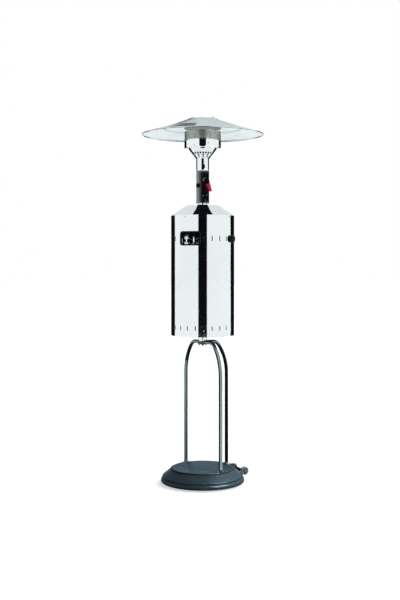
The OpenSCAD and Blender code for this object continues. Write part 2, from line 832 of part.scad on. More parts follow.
module bracket_outline() {
  flange_mid_z = flange_z + bracket_sheet / 2;
  pad_mid_x = pad_x + bracket_sheet / 2;
  difference() {
    union() {
      translate([flange_in_x, flange_z]) square([bracket_bend_x - flange_in_x, bracket_sheet]);
      bar([bracket_bend_x, flange_mid_z], [base_r - bracket_step_in, bracket_step_z]);
      bar([base_r - bracket_step_in, bracket_step_z], [axle_x, axle_z + barrel_r - bracket_sheet / 2]);
      translate([axle_x, axle_z]) circle(r = barrel_r);
      bar([pad_mid_x, pad_low_z + pad_h], [axle_x, axle_z - barrel_r + bracket_sheet / 2]);
      translate([pad_x, pad_low_z]) square([bracket_sheet, pad_h]);
    }
    translate([axle_x, axle_z]) circle(r = axle_r + fit);
  }
}

module wheel_bracket() {
  color(dark)
    difference() {
      at_azimuth(wheel_azimuth)
        translate([0, bracket_w / 2, 0])
          rotate([90, 0, 0])
            linear_extrude(height = bracket_w) bracket_outline();
      at_azimuth(wheel_azimuth)
        translate([leg_circle_r, 0, flange_z - 1])
          for (side = [-1, 1]) translate([0, side * foot_screw_x, 0]) cylinder(h = bracket_sheet + 2, r = screw_hole_r);
    }
}

module wheel_axle() {
  spacer_l = wheel_in_y - bracket_w / 2 - 2 * seat;
  color(pale_metal)
    at_axle() {
      translate([0, 0, -wheel_out_y - axle_cap_t - seat]) cylinder(h = 2 * (wheel_out_y + axle_cap_t + seat), r = axle_r);
      for (side = [0, 1])
        mirror([0, 0, side]) translate([0, 0, bracket_w / 2 + seat]) cylinder(h = spacer_l, r = axle_r + 2);
    }
}

// A wheel round the axle, its middle at z = 0
module wheel() {
  half = wheel_w / 2;
  edge = 3;
  color(wheel_grey)
    difference() {
      rotate_extrude()
        polygon([
          [axle_r + fit, -half], [wheel_recess_r - 8, -half], [wheel_recess_r - 8, -half + wheel_recess_d],
          [wheel_recess_r, -half + wheel_recess_d], [wheel_recess_r, -half], [wheel_r - edge, -half],
          [wheel_r, -half + edge], [wheel_r, half - edge], [wheel_r - edge, half],
          [wheel_recess_r, half], [wheel_recess_r, half - wheel_recess_d],
          [wheel_recess_r - 8, half - wheel_recess_d], [wheel_recess_r - 8, half], [axle_r + fit, half]
        ]);
    }
}

module wheel_near() {
  at_axle() translate([0, 0, wheel_y]) wheel();
}

module wheel_far() {
  at_axle() translate([0, 0, -wheel_y]) wheel();
}

module axle_caps() {
  color(wheel_grey)
    at_axle()
      for (side = [0, 1])
        mirror([0, 0, side])
          translate([0, 0, wheel_out_y + seat])
            difference() {
              cylinder(h = axle_cap_t + 1.5, r = axle_cap_r);
              translate([0, 0, -1]) cylinder(h = axle_cap_t + 1, r = axle_r + fit);
            }
}

// Housing

// A stadium-shaped cutter through the housing's wall, as high as a slot
module slot_cutter() {
  straight = slot_h - slot_w;
  translate([housing_r - 10, 0, 0])
    rotate([0, 90, 0]) {
      translate([-straight / 2, -slot_w / 2, 0]) cube([straight, slot_w, 20]);
      for (side = [-1, 1]) translate([side * straight / 2, 0, 0]) cylinder(h = 20, r = slot_w / 2, $fn = 24);
    }
}

function turned(a) = a > 180 ? a - 360 : a;
function clear_of(a, middle, half) = abs(turned(a) - middle) > half;

module rounded_outline(w, h, r) {
  union() {
    square([w - 2 * r, h], center = true);
    square([w, h - 2 * r], center = true);
    for (x = [-1, 1], y = [-1, 1])
      translate([x * (w / 2 - r), y * (h / 2 - r)]) circle(r = r);
  }
}

// A rounded bar that runs out along the window's azimuth
module window_prism(w, h, r) {
  at_azimuth(window_azimuth)
    translate([housing_r / 2, 0, window_z])
      rotate([90, 0, 90])
        linear_extrude(height = housing_r) rounded_outline(w, h, r);
}

module housing_shell() {
  color(polished)
    difference() {
      tube(housing_r, housing_in_r, housing_low_z, housing_seam_z - seat);
      for (k = [0:slot_count - 1]) {
        a = slot_azimuth + 360 / slot_count * k;
        at_azimuth(a) translate([0, 0, slot_low_z]) slot_cutter();
        if (clear_of(a, window_azimuth, window_half_a) && clear_of(a, grip_azimuth, grip_half_a))
          at_azimuth(a) translate([0, 0, slot_high_z]) slot_cutter();
      }
      window_prism(opening_w, opening_h, window_corner_r - bezel_lip);
      radial_rod(grip_azimuth, slot_high_z, housing_r - 10, housing_r + 10, grip_screw_r + fit);
    }
}

module housing_cone() {
  color(polished)
    difference() {
      rotate_extrude()
        polygon([
          [housing_r, housing_seam_z], [housing_r, cone_low_z], [cone_top_r, cone_top_z],
          [bush_r + seat, cone_top_z], [bush_r + seat, cone_under_z], [cone_top_r - housing_sheet / 2, cone_under_z],
          [housing_in_r, cone_low_z - housing_sheet / 2], [housing_in_r, housing_seam_z]
        ]);
      for (k = [0:3])
        radial_rod(housing_screw_azimuth + 90 * k, screw_ring_z, housing_r - 10, housing_r + 10, housing_screw_r + fit);
    }
}

module housing_joint_ring() {
  color(pale_metal)
    difference() {
      tube(joint_ring_r, joint_ring_r - joint_ring_t, joint_ring_low_z, joint_ring_low_z + joint_ring_h);
      for (k = [0:3])
        radial_rod(housing_screw_azimuth + 90 * k, screw_ring_z, housing_r - 10, housing_r + 10, housing_screw_r + fit);
    }
}

module housing_screws() {
  head_h = 1.6;
  color(polished)
    for (k = [0:3]) {
      radial_rod(housing_screw_azimuth + 90 * k, screw_ring_z, joint_ring_r - joint_ring_t, housing_r + eps, housing_screw_r);
      radial_rod(housing_screw_azimuth + 90 * k, screw_ring_z, housing_r, housing_r + head_h, 2 * housing_screw_r);
    }
}

module window_bezel() {
  color(dark)
    difference() {
      union() {
        intersection() {
          tube(housing_r + bezel_proud, housing_r + fit, slot_high_z - window_h, slot_high_z + window_h);
          window_prism(window_w, window_h, window_corner_r);
        }
        intersection() {
          tube(housing_r + 2 * fit, housing_in_r - bezel_inside, slot_high_z - window_h, slot_high_z + window_h);
          window_prism(opening_w - 2 * fit, opening_h - 2 * fit, window_corner_r - bezel_lip);
        }
      }
      window_prism(bezel_in_w, bezel_in_h, window_corner_r - bezel_w);
    }
}

module grip_knob() {
  edge = 4;
  tip_u = housing_r + grip_proud;
  color(dark) {
    difference() {
      at_azimuth(grip_azimuth)
        translate([0, 0, slot_high_z])
          rotate([0, 90, 0])
            rotate_extrude()
              polygon(concat(
                [[0, housing_r - 6], [grip_r, housing_r - 6]],
                arc_points(grip_r - edge, tip_u - edge, edge, edge, 0, 90),
                [[0, tip_u]]
              ));
      translate([0, 0, slot_high_z - 2 * grip_r]) cylinder(h = 4 * grip_r, r = housing_r + fit);
    }
    radial_rod(grip_azimuth, slot_high_z, housing_in_r - 2, housing_r + 2, grip_screw_r);
  }
}

module guide_bush() {
  color(dark)
    difference() {
      union() {
        translate([0, 0, bush_low_z]) cylinder(h = bush_top_z - bush_low_z, r = bush_r);
        translate([0, 0, bush_flange_z]) cylinder(h = bush_flange_t, r = bush_flange_r);
      }
      translate([0, 0, bush_low_z - 1]) cylinder(h = bush_top_z - bush_low_z + 2, r = post_r + fit);
    }
}

module guide_nut() {
  color(dark) tube(guide_nut_r, bush_r + fit, guide_nut_z, guide_nut_z + guide_nut_t);
}

// Controls

module control_base() {
  color(dark)
    difference() {
      union() {
        translate([0, 0, control_low_z]) cylinder(h = control_flange_t, r = control_r);
        translate([0, 0, control_low_z]) cylinder(h = control_flange_t + control_spigot_h, r = spigot_r);
      }
      translate([0, 0, control_low_z - 1]) cylinder(h = control_flange_t + control_spigot_h + 2, r = post_r + fit);
    }
}

module control_sleeve() {
  color(dark)
    difference() {
      tube(control_r, control_in_r, shoulder_z, sleeve_top_z);
      radial_rod(knob_azimuth, knob_z, control_r - 10, control_r + 5, spindle_r + 1);
      radial_rod(igniter_azimuth, igniter_z, control_r - 20, control_r + 5, igniter_barrel_r + fit);
    }
}

module control_top() {
  color(dark)
    difference() {
      union() {
        translate([0, 0, sleeve_top_z]) cylinder(h = control_flange_t, r = control_r);
        translate([0, 0, sleeve_top_z - control_spigot_h]) cylinder(h = control_flange_t + control_spigot_h, r = spigot_r);
      }
      translate([0, 0, sleeve_top_z - control_spigot_h - 1])
        cylinder(h = control_flange_t + control_spigot_h + 2, r = mixer_r + fit);
      for (side = [-1, 1])
        translate([side * wick_x, 0, sleeve_top_z - control_spigot_h - 1])
          cylinder(h = control_flange_t + control_spigot_h + 2, r = electrode_r + fit);
    }
}

module valve_bracket() {
  color(pale_metal)
    difference() {
      union() {
        translate([0, 0, post_top_z]) cylinder(h = post_cap_t, r = post_r);
        translate([-bracket_plate_w / 2, bracket_plate_y, post_top_z])
          cube([bracket_plate_w, bracket_plate_t, valve_top_z - post_top_z]);
      }
      translate([0, 0, post_top_z - 1]) cylinder(h = post_cap_t + 2, r = pipe_r + screw_gap);
    }
}

module valve_body() {
  color(brass_tone)
    difference() {
      union() {
        translate([0, 0, valve_low_z]) cylinder(h = valve_top_z - valve_low_z, r = valve_r);
        translate([0, 0, valve_top_z - eps]) cylinder(h = outlet_h + eps, r = outlet_r);
        radial_rod(knob_azimuth, knob_z, 0, boss_u, boss_r);
        translate([-valve_r / 2, 0, knob_z - boss_r]) cube([valve_r, bracket_plate_y, 2 * boss_r]);
      }
      radial_rod(knob_azimuth, knob_z, spindle_in_u - 1, boss_u + 1, spindle_r + fit);
    }
}

module valve_spindle() {
  color(pale_metal) radial_rod(knob_azimuth, knob_z, spindle_in_u, spindle_out_u, spindle_r);
}

// Places the knob's pieces: the knob's axis is +Z, the lever points along +X
module at_knob() {
  at_azimuth(knob_azimuth)
    translate([0, 0, knob_z])
      rotate([0, 90, 0])
        rotate([0, 0, lever_a])
          children();
}

module knob_hub() {
  edge = 2.5;
  color(dark)
    at_knob()
      difference() {
        rotate_extrude()
          polygon(concat(
            [[0, knob_back_u], [knob_r, knob_back_u]],
            arc_points(knob_r - edge, knob_back_u + knob_h - edge, edge, edge, 0, 90),
            [[0, knob_back_u + knob_h]]
          ));
        translate([0, 0, knob_back_u - 1]) cylinder(h = knob_bore_u - knob_back_u + 1, r = spindle_r + fit);
      }
}

// The lever's outline: it narrows from the hub to a round tip
module lever_outline() {
  tip_r = lever_tip_w / 2;
  union() {
    polygon([
      [0, -lever_w / 2], [lever_l - tip_r, -tip_r], [lever_l - tip_r, tip_r], [0, lever_w / 2]
    ]);
    translate([lever_l - tip_r, 0]) circle(r = tip_r);
  }
}

module control_lever() {
  lever_u = knob_back_u + (knob_h - lever_t) / 2;
  color(red_tone)
    at_knob()
      difference() {
        translate([0, 0, lever_u]) linear_extrude(height = lever_t) lever_outline();
        translate([0, 0, lever_u - 1]) cylinder(h = lever_t + 2, r = knob_r + fit);
      }
}

module igniter_barrel() {
  color(pale_metal)
    difference() {
      radial_rod(igniter_azimuth, igniter_z, igniter_in_u, igniter_ring_u - 1, igniter_barrel_r);
      radial_rod(igniter_azimuth, igniter_z, igniter_in_u + 2, igniter_ring_u + 1, igniter_button_r + fit);
    }
}

module igniter_ring() {
  color(dark)
    difference() {
      radial_rod(igniter_azimuth, igniter_z, control_r - 10, igniter_ring_u, igniter_ring_r);
      radial_rod(igniter_azimuth, igniter_z, control_r - 11, igniter_ring_u - 1, igniter_barrel_r + fit);
      radial_rod(igniter_azimuth, igniter_z, control_r - 11, igniter_ring_u + 1, igniter_button_r + fit);
      translate([0, 0, igniter_z - 2 * igniter_ring_r]) cylinder(h = 4 * igniter_ring_r, r = control_r + fit);
    }
}

module igniter_button() {
  edge = 2;
  tip_u = igniter_ring_u + igniter_button_h;
  color(dark)
    at_azimuth(igniter_azimuth)
      translate([0, 0, igniter_z])
        rotate([0, 90, 0])
          rotate_extrude()
            polygon(concat(
              [[0, igniter_in_u + 2 + igniter_travel + seat], [igniter_button_r, igniter_in_u + 2 + igniter_travel + seat]],
              arc_points(igniter_button_r - edge, tip_u - edge, edge, edge, 0, 90),
              [[0, tip_u]]
            ));
}

module tilt_switch() {
  color(red_tone) translate([-9, bracket_plate_y - 10, post_top_z + post_cap_t]) cube([18, 10, 20]);
}

// Burner

module gas_injector() {
  hex_h = 7;
  tip_r = 3.5;
  color(brass_tone)
    translate([0, 0, valve_top_z + outlet_h])
      difference() {
        union() {
          cylinder(h = hex_h, r = outlet_r + 1, $fn = 6);
          cylinder(h = injector_h, r = tip_r);
        }
        translate([0, 0, -1]) cylinder(h = injector_h - 2, r = tip_r - 1.2);
        cylinder(h = injector_h + 1, r = 0.75);
      }
}

module mixing_tube() {
  color(pale_metal) tube(mixer_r, mixer_r - mixer_wall, mixer_low_z, head_z + 2);
}

// The burner head is one casting: a floor that fills the drum and a cup with gas ports
module burner_head() {
  floor_t = 2;
  ports = 16;
  color(pale_metal)
    difference() {
      union() {
        translate([0, 0, head_z]) cylinder(h = floor_t, r = drum_r - burner_sheet - fit);
        translate([0, 0, head_z]) cylinder(h = head_h, r = head_r);
      }
      translate([0, 0, head_z + floor_t]) cylinder(h = head_h - 2 * floor_t, r = head_r - 2);
      translate([0, 0, head_z - 1]) cylinder(h = floor_t + 2, r = mixer_r + fit);
      for (k = [0:ports - 1])
        at_azimuth(360 / ports * k)
          translate([head_r * 0.75, 0, head_z + floor_t + 1]) cylinder(h = head_h, r = 3);
      for (side = [-1, 1])
        translate([side * wick_out_x, 0, head_z - 1]) cylinder(h = floor_t + 2, r = electrode_r + fit);
      for (k = [0:ports - 1])
        at_azimuth(360 / ports * (k + 0.5))
          translate([(head_r + drum_r) / 2 + 4, 0, head_z - 1]) cylinder(h = floor_t + 2, r = 5);
    }
}

// A rod that goes up the neck, leans out in the funnel and ends beside the burner head
module wick_rod(side, r, top_z) {
  lean = [side * (wick_out_x - wick_x), 0, wick_turn_z - wick_bend_z];
  translate([side * wick_x, 0, mixer_low_z - 14]) cylinder(h = wick_bend_z - mixer_low_z + 14, r = r);
  translate([side * wick_x, 0, wick_bend_z]) sphere(r = r);
  translate([side * wick_x, 0, wick_bend_z])
    rotate([0, side * acos(lean[2] / norm(lean)), 0]) cylinder(h = norm(lean), r = r);
  translate([side * wick_out_x, 0, wick_turn_z]) sphere(r = r);
  translate([side * wick_out_x, 0, wick_turn_z]) cylinder(h = top_z - wick_turn_z, r = r);
}

module thermocouple() {
  color(brass_tone) wick_rod(1, thermocouple_r, head_z + head_h + 6);
}

module spark_electrode() {
  color(pale_metal) wick_rod(-1, electrode_r, head_z + head_h + 2);
}

module neck_tube() {
  color(polished)
    difference() {
      tube(neck_r, neck_r - burner_sheet, control_top_z, neck_top_z);
      for (side = [-1, 1])
        radial_rod(sight_azimuth, sight_z + side * sight_pitch / 2, neck_r - 10, neck_r + 10, sight_r);
      at_azimuth(sight_azimuth)
        translate([neck_r - 10, -sight_r * 0.7, sight_z - sight_pitch / 2]) cube([20, sight_r * 1.4, sight_pitch]);
    }
}

module vent_row(count, z, r) {
  for (k = [0:count - 1]) radial_rod(vent_azimuth + 360 / count * k, z, neck_r - 5, funnel_r + 5, r);
}

module burner_funnel() {
  collar_in_r = neck_r - burner_sheet - fit;
  band_r = funnel_r + 2;
  color(polished)
    difference() {
      rotate_extrude()
        polygon([
          [collar_in_r, neck_top_z - 8], [collar_in_r, neck_top_z], [neck_r, neck_top_z],
          [funnel_r, funnel_top_z], [band_r, funnel_top_z + 1.5], [band_r, drum_low_z],
          [band_r - burner_sheet, drum_low_z], [band_r - burner_sheet, funnel_top_z + 2],
          [funnel_r - burner_sheet, funnel_top_z + 0.5],
          [neck_r - burner_sheet, neck_top_z + 0.5], [collar_in_r - burner_sheet, neck_top_z],
          [collar_in_r - burner_sheet, neck_top_z - 8]
        ]);
      vent_row(vent_count, vent_high_z, 4);
      vent_row(vent_count / 2, vent_mid_z, 3.4);
      vent_row(vent_count / 2, vent_low_z, 2.2);
    }
}

module burner_drum() {
  floor_in_r = funnel_r - 2;
  inner_corner_r = drum_corner_r - burner_sheet;
  corner_x = drum_r - drum_corner_r;
  corner_z = drum_low_z + drum_corner_r;
  color(polished)
    difference() {
      rotate_extrude()
        polygon(concat(
          [[floor_in_r, drum_low_z + burner_sheet], [floor_in_r, drum_low_z]],
          arc_points(corner_x, corner_z, drum_corner_r, drum_corner_r, -90, 0),
          [[drum_r, band_top_z], [drum_r - burner_sheet, band_top_z]],
          arc_points(corner_x, corner_z, inner_corner_r, inner_corner_r, 0, -90)
        ));
      radial_rod(lighting_hole_a, lighting_hole_z, drum_r - 10, drum_r + 10, 3);
      for (k = [0:3])
        radial_rod(drum_screw_azimuth + 90 * k, drum_screw_z, drum_r - 10, drum_r + 10, drum_screw_r + fit);
    }
}

module drum_screws() {
  color(pale_metal)
    for (k = [0:3]) {
      radial_rod(drum_screw_azimuth + 90 * k, drum_screw_z, drum_r - burner_sheet - 3, drum_r + eps, drum_screw_r);
      radial_rod(drum_screw_azimuth + 90 * k, drum_screw_z, drum_r, drum_r + 1.6, 1.8 * drum_screw_r);
    }
}

module emitter_mesh() {
  inner_corner_r = mesh_corner_r - mesh_sheet;
  corner_x = mesh_r - mesh_corner_r;
  corner_z = mesh_top_z - mesh_corner_r;
  color(satin_grey)
    difference() {
      rotate_extrude()
        polygon(concat(
          [[mesh_r - mesh_sheet, mesh_low_z - mesh_tail_h], [mesh_r, mesh_low_z - mesh_tail_h]],
          arc_points(corner_x, corner_z, mesh_corner_r, mesh_corner_r, 0, 90),
          [[mesh_flange_in_r, mesh_top_z], [mesh_flange_in_r, mesh_top_z - mesh_sheet]],
          arc_points(corner_x, corner_z, inner_corner_r, inner_corner_r, 90, 0)
        ));
      at_studs() translate([0, 0, mesh_top_z - 10]) cylinder(h = 20, r = stud_r + fit);
    }
}

module deflector_plate() {
  color(pale_metal)
    difference() {
      translate([0, 0, deflector_z]) cylinder(h = deflector_t, r = deflector_r);
      at_studs() translate([0, 0, deflector_z - 1]) cylinder(h = deflector_t + 2, r = stud_r + fit);
    }
}

// Reflector

module at_studs() {
  for (k = [0:3]) at_azimuth(45 + 90 * k) translate([stud_circle_r, 0, 0]) children();
}

module reflector_studs() {
  head_h = 4;
  color(pale_metal)
    at_studs() {
      translate([0, 0, mesh_top_z - mesh_sheet - head_h]) cylinder(h = head_h, r = spacer_r);
      translate([0, 0, mesh_top_z - mesh_sheet - eps])
        cylinder(h = cap_top_z + cap_nut_h - 3 - mesh_top_z + mesh_sheet, r = stud_r);
      translate([0, 0, mesh_top_z]) cylinder(h = deflector_gap, r = spacer_r);
      translate([0, 0, deflector_z + deflector_t])
        cylinder(h = upper_spacer_h, r = spacer_r);
    }
}

// The sheet's profile from the flat top's hole out to the rolled rim
module sheet_profile() {
  polygon([
    [dome_hole_r, dome_top_z], [dome_top_r, dome_top_z], [brim_in_r, brim_in_z], [rim_r - hem_r, sheet_end_z],
    [rim_r - hem_r, sheet_end_z - reflector_sheet], [brim_in_r, brim_in_z - reflector_sheet],
    [dome_top_r, dome_top_z - reflector_sheet], [dome_hole_r, dome_top_z - reflector_sheet]
  ]);
}

// Turns a profile through a quarter and its laps, the middle at the azimuth
module lapped_quarter(azimuth, rise) {
  half = 45 + lap_a;
  at_azimuth(azimuth)
    translate([0, 0, rise])
      rotate([0, 0, -half]) rotate_extrude(angle = 2 * half) children();
}

// A quarter of the reflector; an under segment has no hem in its laps
module segment(azimuth, rise, under) {
  color(pale_metal)
    difference() {
      union() {
        lapped_quarter(azimuth, rise) sheet_profile();
        lapped_quarter(azimuth, rise) translate([rim_r - hem_r, rim_z - hem_r]) circle(r = hem_r);
      }
      if (under)
        at_azimuth(azimuth)
          translate([0, 0, rim_z - 10])
            for (side = [0, 1])
              mirror([0, side, 0])
                rotate([0, 0, 45 - lap_a - hem_end_a])
                  rotate_extrude(angle = 2 * lap_a + 1)
                    translate([rim_r - 2 * hem_r - seat, 0]) square([20, 20]);
      at_studs() translate([0, 0, dome_top_z - 5]) cylinder(h = 10, r = stud_r + fit);
      at_rivets() translate([0, 0, -10]) cylinder(h = 20, r = rivet_r + fit);
    }
}

module reflector_front() {
  segment(0, lap_rise, false);
}

module reflector_right() {
  segment(90, 0, true);
}

module reflector_rear() {
  segment(180, lap_rise, false);
}

module reflector_left() {
  segment(270, 0, true);
}

// The rivets stand square to the sheet, their middle in the lower sheet's upper face
module at_rivets() {
  out_z = sheet_end_z + (rim_r - hem_r - rivet_out_r) * tan(brim_a);
  in_z = brim_in_z + (brim_in_r - rivet_in_r) * tan(dome_a);
  for (k = [0:3])
    at_azimuth(45 + 90 * k) {
      translate([rivet_out_r, 0, out_z]) rotate([0, brim_a, 0]) children();
      translate([rivet_in_r, 0, in_z]) rotate([0, dome_a, 0]) children();
    }
}

module reflector_rivets() {
  head_h = 1.2;
  color(satin_grey)
    at_rivets() {
      translate([0, 0, -reflector_sheet - head_h]) cylinder(h = head_h, r = 2 * rivet_r);
      translate([0, 0, -reflector_sheet - eps]) cylinder(h = reflector_sheet + lap_rise + 2 * eps, r = rivet_r);
      translate([0, 0, lap_rise]) cylinder(h = head_h, r = 2 * rivet_r);
    }
}

module reflector_cap() {
  cap_r = dome_top_r - 1;
  color(pale_metal)
    difference() {
      translate([0, 0, cap_z]) cylinder(h = cap_t, r = cap_r);
      at_studs() translate([0, 0, cap_z - 1]) cylinder(h = cap_t + 2, r = stud_r + fit);
    }
}

module cap_nuts() {
  color(polished)
    at_studs()
      translate([0, 0, cap_top_z])
        difference() {
          union() {
            cylinder(h = cap_nut_h - 2, r = cap_nut_d / 2, $fn = 6);
            cylinder(h = cap_nut_h, r = stud_r + 1.4);
          }
          translate([0, 0, -1]) cylinder(h = cap_nut_h - 1, r = stud_r + fit);
        }
}

base_pan();
rubber_feet();
ballast_slab();
base_cover();
top_plate();
leg_feet();
leg_foot_screws();
leg(0);  // leg_front_right
leg(1);  // leg_rear_right
leg(2);  // leg_rear_left
leg_hub();
hub_bolts();
post_end_plug();
post();
gas_inlet();
gas_pipe();
wheel_bracket();
wheel_axle();
wheel_near();
wheel_far();
axle_caps();
control_base();
control_sleeve();
control_top();
valve_bracket();
valve_body();
valve_spindle();
knob_hub();
control_lever();
igniter_barrel();
igniter_ring();
igniter_button();
tilt_switch();
gas_injector();
mixing_tube();
burner_head();
thermocouple();
spark_electrode();
neck_tube();
burner_funnel();
burner_drum();
emitter_mesh();
deflector_plate();
drum_screws();
reflector_studs();
reflector_front();
reflector_right();
reflector_rear();
reflector_left();
reflector_rivets();
reflector_cap();
cap_nuts();
housing_shell();
housing_cone();
housing_joint_ring();
housing_screws();
window_bezel();
grip_knob();
guide_bush();
guide_nut();
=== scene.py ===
import json
import math

import bmesh
import bpy
from mathutils import Matrix, Vector


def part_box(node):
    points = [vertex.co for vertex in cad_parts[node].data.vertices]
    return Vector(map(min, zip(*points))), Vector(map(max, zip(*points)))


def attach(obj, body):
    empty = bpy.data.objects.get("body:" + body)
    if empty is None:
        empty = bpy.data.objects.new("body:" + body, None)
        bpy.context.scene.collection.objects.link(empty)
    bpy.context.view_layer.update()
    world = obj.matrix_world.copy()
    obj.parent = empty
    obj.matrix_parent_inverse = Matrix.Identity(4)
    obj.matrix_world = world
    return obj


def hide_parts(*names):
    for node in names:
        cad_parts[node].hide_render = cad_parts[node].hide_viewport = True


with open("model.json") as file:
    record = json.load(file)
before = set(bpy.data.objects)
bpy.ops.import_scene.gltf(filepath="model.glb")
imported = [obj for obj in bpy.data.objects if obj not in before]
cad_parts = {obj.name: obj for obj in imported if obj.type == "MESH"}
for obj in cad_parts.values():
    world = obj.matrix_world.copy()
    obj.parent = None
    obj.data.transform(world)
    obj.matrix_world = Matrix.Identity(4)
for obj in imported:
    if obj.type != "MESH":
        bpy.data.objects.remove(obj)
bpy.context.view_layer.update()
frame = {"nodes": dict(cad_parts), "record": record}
nodes = frame["nodes"]
mm = 0.001
legs = {"azimuths": (37.5, 122.5, 216.7), "circle": 172}  # front right, rear right, rear left; mm
print("frame loaded:", len(nodes), "nodes")


def aroundAxis(radius, azimuth, z):
    # azimuth 0 is the front, 90 the right side; sizes in mm
    a = math.radians(azimuth)
    return Vector((radius * math.sin(a), -radius * math.cos(a), z)) * mm


def outwardFrame(azimuth, z, reach=0.0):
    # local X along the tangent, local Y up, local Z straight out of the axis
    a = math.radians(azimuth)
    tangent = Vector((math.cos(a), math.sin(a), 0))
    out = Vector((math.sin(a), -math.cos(a), 0))
    up = Vector((0, 0, 1))
    turn = Matrix((tangent, up, out)).transposed().to_4x4()
    return Matrix.Translation(out * reach * mm + up * z * mm) @ turn


def addPiece(name, bm, body, material, smoothAngle=35.0):
    mesh = bpy.data.meshes.new(name)
    bmesh.ops.recalc_face_normals(bm, faces=bm.faces)
    bm.to_mesh(mesh)
    bm.free()
    mesh.materials.append(material)
    for face in mesh.polygons:
        face.use_smooth = True
    mesh.set_sharp_from_angle(angle=math.radians(smoothAngle))
    piece = bpy.data.objects.new(name, mesh)
    bpy.context.scene.collection.objects.link(piece)
    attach(piece, body)
    return piece


def joinRings(bm, low, high):
    # a band of faces between two rings of as many vertices
    count = len(low)
    for k in range(count):
        bm.faces.new((low[k], low[(k + 1) % count], high[(k + 1) % count], high[k]))


def sweepLoop(bm, points, radius, sides=8, upright=Vector((0, 0, 1))):
    # a round bead or wire along a closed line of points, in metres
    rings = []
    count = len(points)
    for i, point in enumerate(points):
        along = (points[(i + 1) % count] - points[(i - 1) % count]).normalized()
        side = along.cross(upright).normalized()
        other = along.cross(side)
        rings.append([
            bm.verts.new(point + radius * (math.cos(t) * side + math.sin(t) * other))
            for t in (2 * math.pi * k / sides for k in range(sides))
        ])
    for i in range(count):
        joinRings(bm, rings[i], rings[(i + 1) % count])


def turnProfile(bm, profile, place, sides):
    # closed profile of (radius, height) in mm, turned about the local Z of place
    rings = []
    for r, h in profile:
        rings.append([
            bm.verts.new(place @ (Vector((r * math.cos(t), r * math.sin(t), h)) * mm))
            for t in (2 * math.pi * k / sides for k in range(sides))
        ])
    for i in range(len(profile)):
        joinRings(bm, rings[i], rings[(i + 1) % len(profile)])


def startMaterial(name):
    material = bpy.data.materials.new(name)
    material.use_nodes = True
    tree = material.node_tree
    tree.nodes.clear()
    output = tree.nodes.new("ShaderNodeOutputMaterial")
    shader = tree.nodes.new("ShaderNodeBsdfPrincipled")
    tree.links.new(shader.outputs["BSDF"], output.inputs["Surface"])
    return material, tree, shader


def surfacePoint(tree, way):
    # where on the piece: plain, or the distance from the post for turned marks
    point = tree.nodes.new("ShaderNodeTexCoord").outputs["Object"]
    if way != "turned":
        return point
    flat = tree.nodes.new("ShaderNodeVectorMath")
    flat.operation = "MULTIPLY"
    flat.inputs[1].default_value = (1, 1, 0)
    tree.links.new(point, flat.inputs[0])
    reach = tree.nodes.new("ShaderNodeVectorMath")
    reach.operation = "LENGTH"
    tree.links.new(flat.outputs["Vector"], reach.inputs[0])
    line = tree.nodes.new("ShaderNodeCombineXYZ")
    tree.links.new(reach.outputs["Value"], line.inputs["X"])
    return line.outputs["Vector"]


def grain(tree, point, scale, stretch=(1, 1, 1), detail=3.0):
    mapping = tree.nodes.new("ShaderNodeMapping")
    mapping.inputs["Scale"].default_value = stretch
    tree.links.new(point, mapping.inputs["Vector"])
    noise = tree.nodes.new("ShaderNodeTexNoise")
    noise.inputs["Scale"].default_value = scale
    noise.inputs["Detail"].default_value = detail
    noise.inputs["Roughness"].default_value = 0.55
    tree.links.new(mapping.outputs["Vector"], noise.inputs["Vector"])
    return noise.outputs["Fac"]


def spread(tree, value, low, high, fromLow=0.3, fromHigh=0.7):
    reach = tree.nodes.new("ShaderNodeMapRange")
    reach.inputs["From Min"].default_value = fromLow
    reach.inputs["From Max"].default_value = fromHigh
    reach.inputs["To Min"].default_value = low
    reach.inputs["To Max"].default_value = high
    tree.links.new(value, reach.inputs["Value"])
    return reach.outputs["Result"]


def twoTone(tree, value, first, second, low=0.35, high=0.65):
    ramp = tree.nodes.new("ShaderNodeValToRGB")
    ramp.color_ramp.elements[0].position = low
    ramp.color_ramp.elements[0].color = (*first, 1)
    ramp.color_ramp.elements[1].position = high
    ramp.color_ramp.elements[1].color = (*second, 1)
    tree.links.new(value, ramp.inputs["Fac"])
    return ramp.outputs["Color"]


def layBump(tree, shader, heights):
    # heights is a list of (value, distance in mm), laid one over the other
    normal = None
    for value, distance in heights:
        bump = tree.nodes.new("ShaderNodeBump")
        bump.inputs["Strength"].default_value = 1.0
        bump.inputs["Distance"].default_value = distance * mm
        tree.links.new(value, bump.inputs["Height"])
        if normal:
            tree.links.new(normal, bump.inputs["Normal"])
        normal = bump.outputs["Normal"]
    tree.links.new(normal, shader.inputs["Normal"])


def makeFinish(name, look):
    material, tree, shader = startMaterial(name)
    shader.inputs["Metallic"].default_value = look.get("metallic", 0.0)
    shader.inputs["Coat Weight"].default_value = look.get("coat", 0.0)
    shader.inputs["Coat Roughness"].default_value = look.get("coatRoughness", 0.1)
    shader.inputs["Specular IOR Level"].default_value = look.get("specular", 0.5)
    plain = surfacePoint(tree, "plain")
    marked = surfacePoint(tree, look.get("marks", "plain"))
    cloud = grain(tree, plain, look["cloudScale"], look.get("cloudStretch", (1, 1, 1)))
    marks = grain(tree, marked, look["markScale"], look.get("markStretch", (1, 1, 1)), 4.0)
    tree.links.new(twoTone(tree, cloud, look["dark"], look["light"]), shader.inputs["Base Color"])
    tree.links.new(spread(tree, marks, *look["roughness"]), shader.inputs["Roughness"])
    heights = [(marks, look["markDepth"])]
    if "waveDepth" in look:
        wave = grain(tree, plain, look["waveScale"], look.get("waveStretch", (1, 1, 1)), 1.0)
        heights.insert(0, (wave, look["waveDepth"]))
    layBump(tree, shader, heights)
    return material


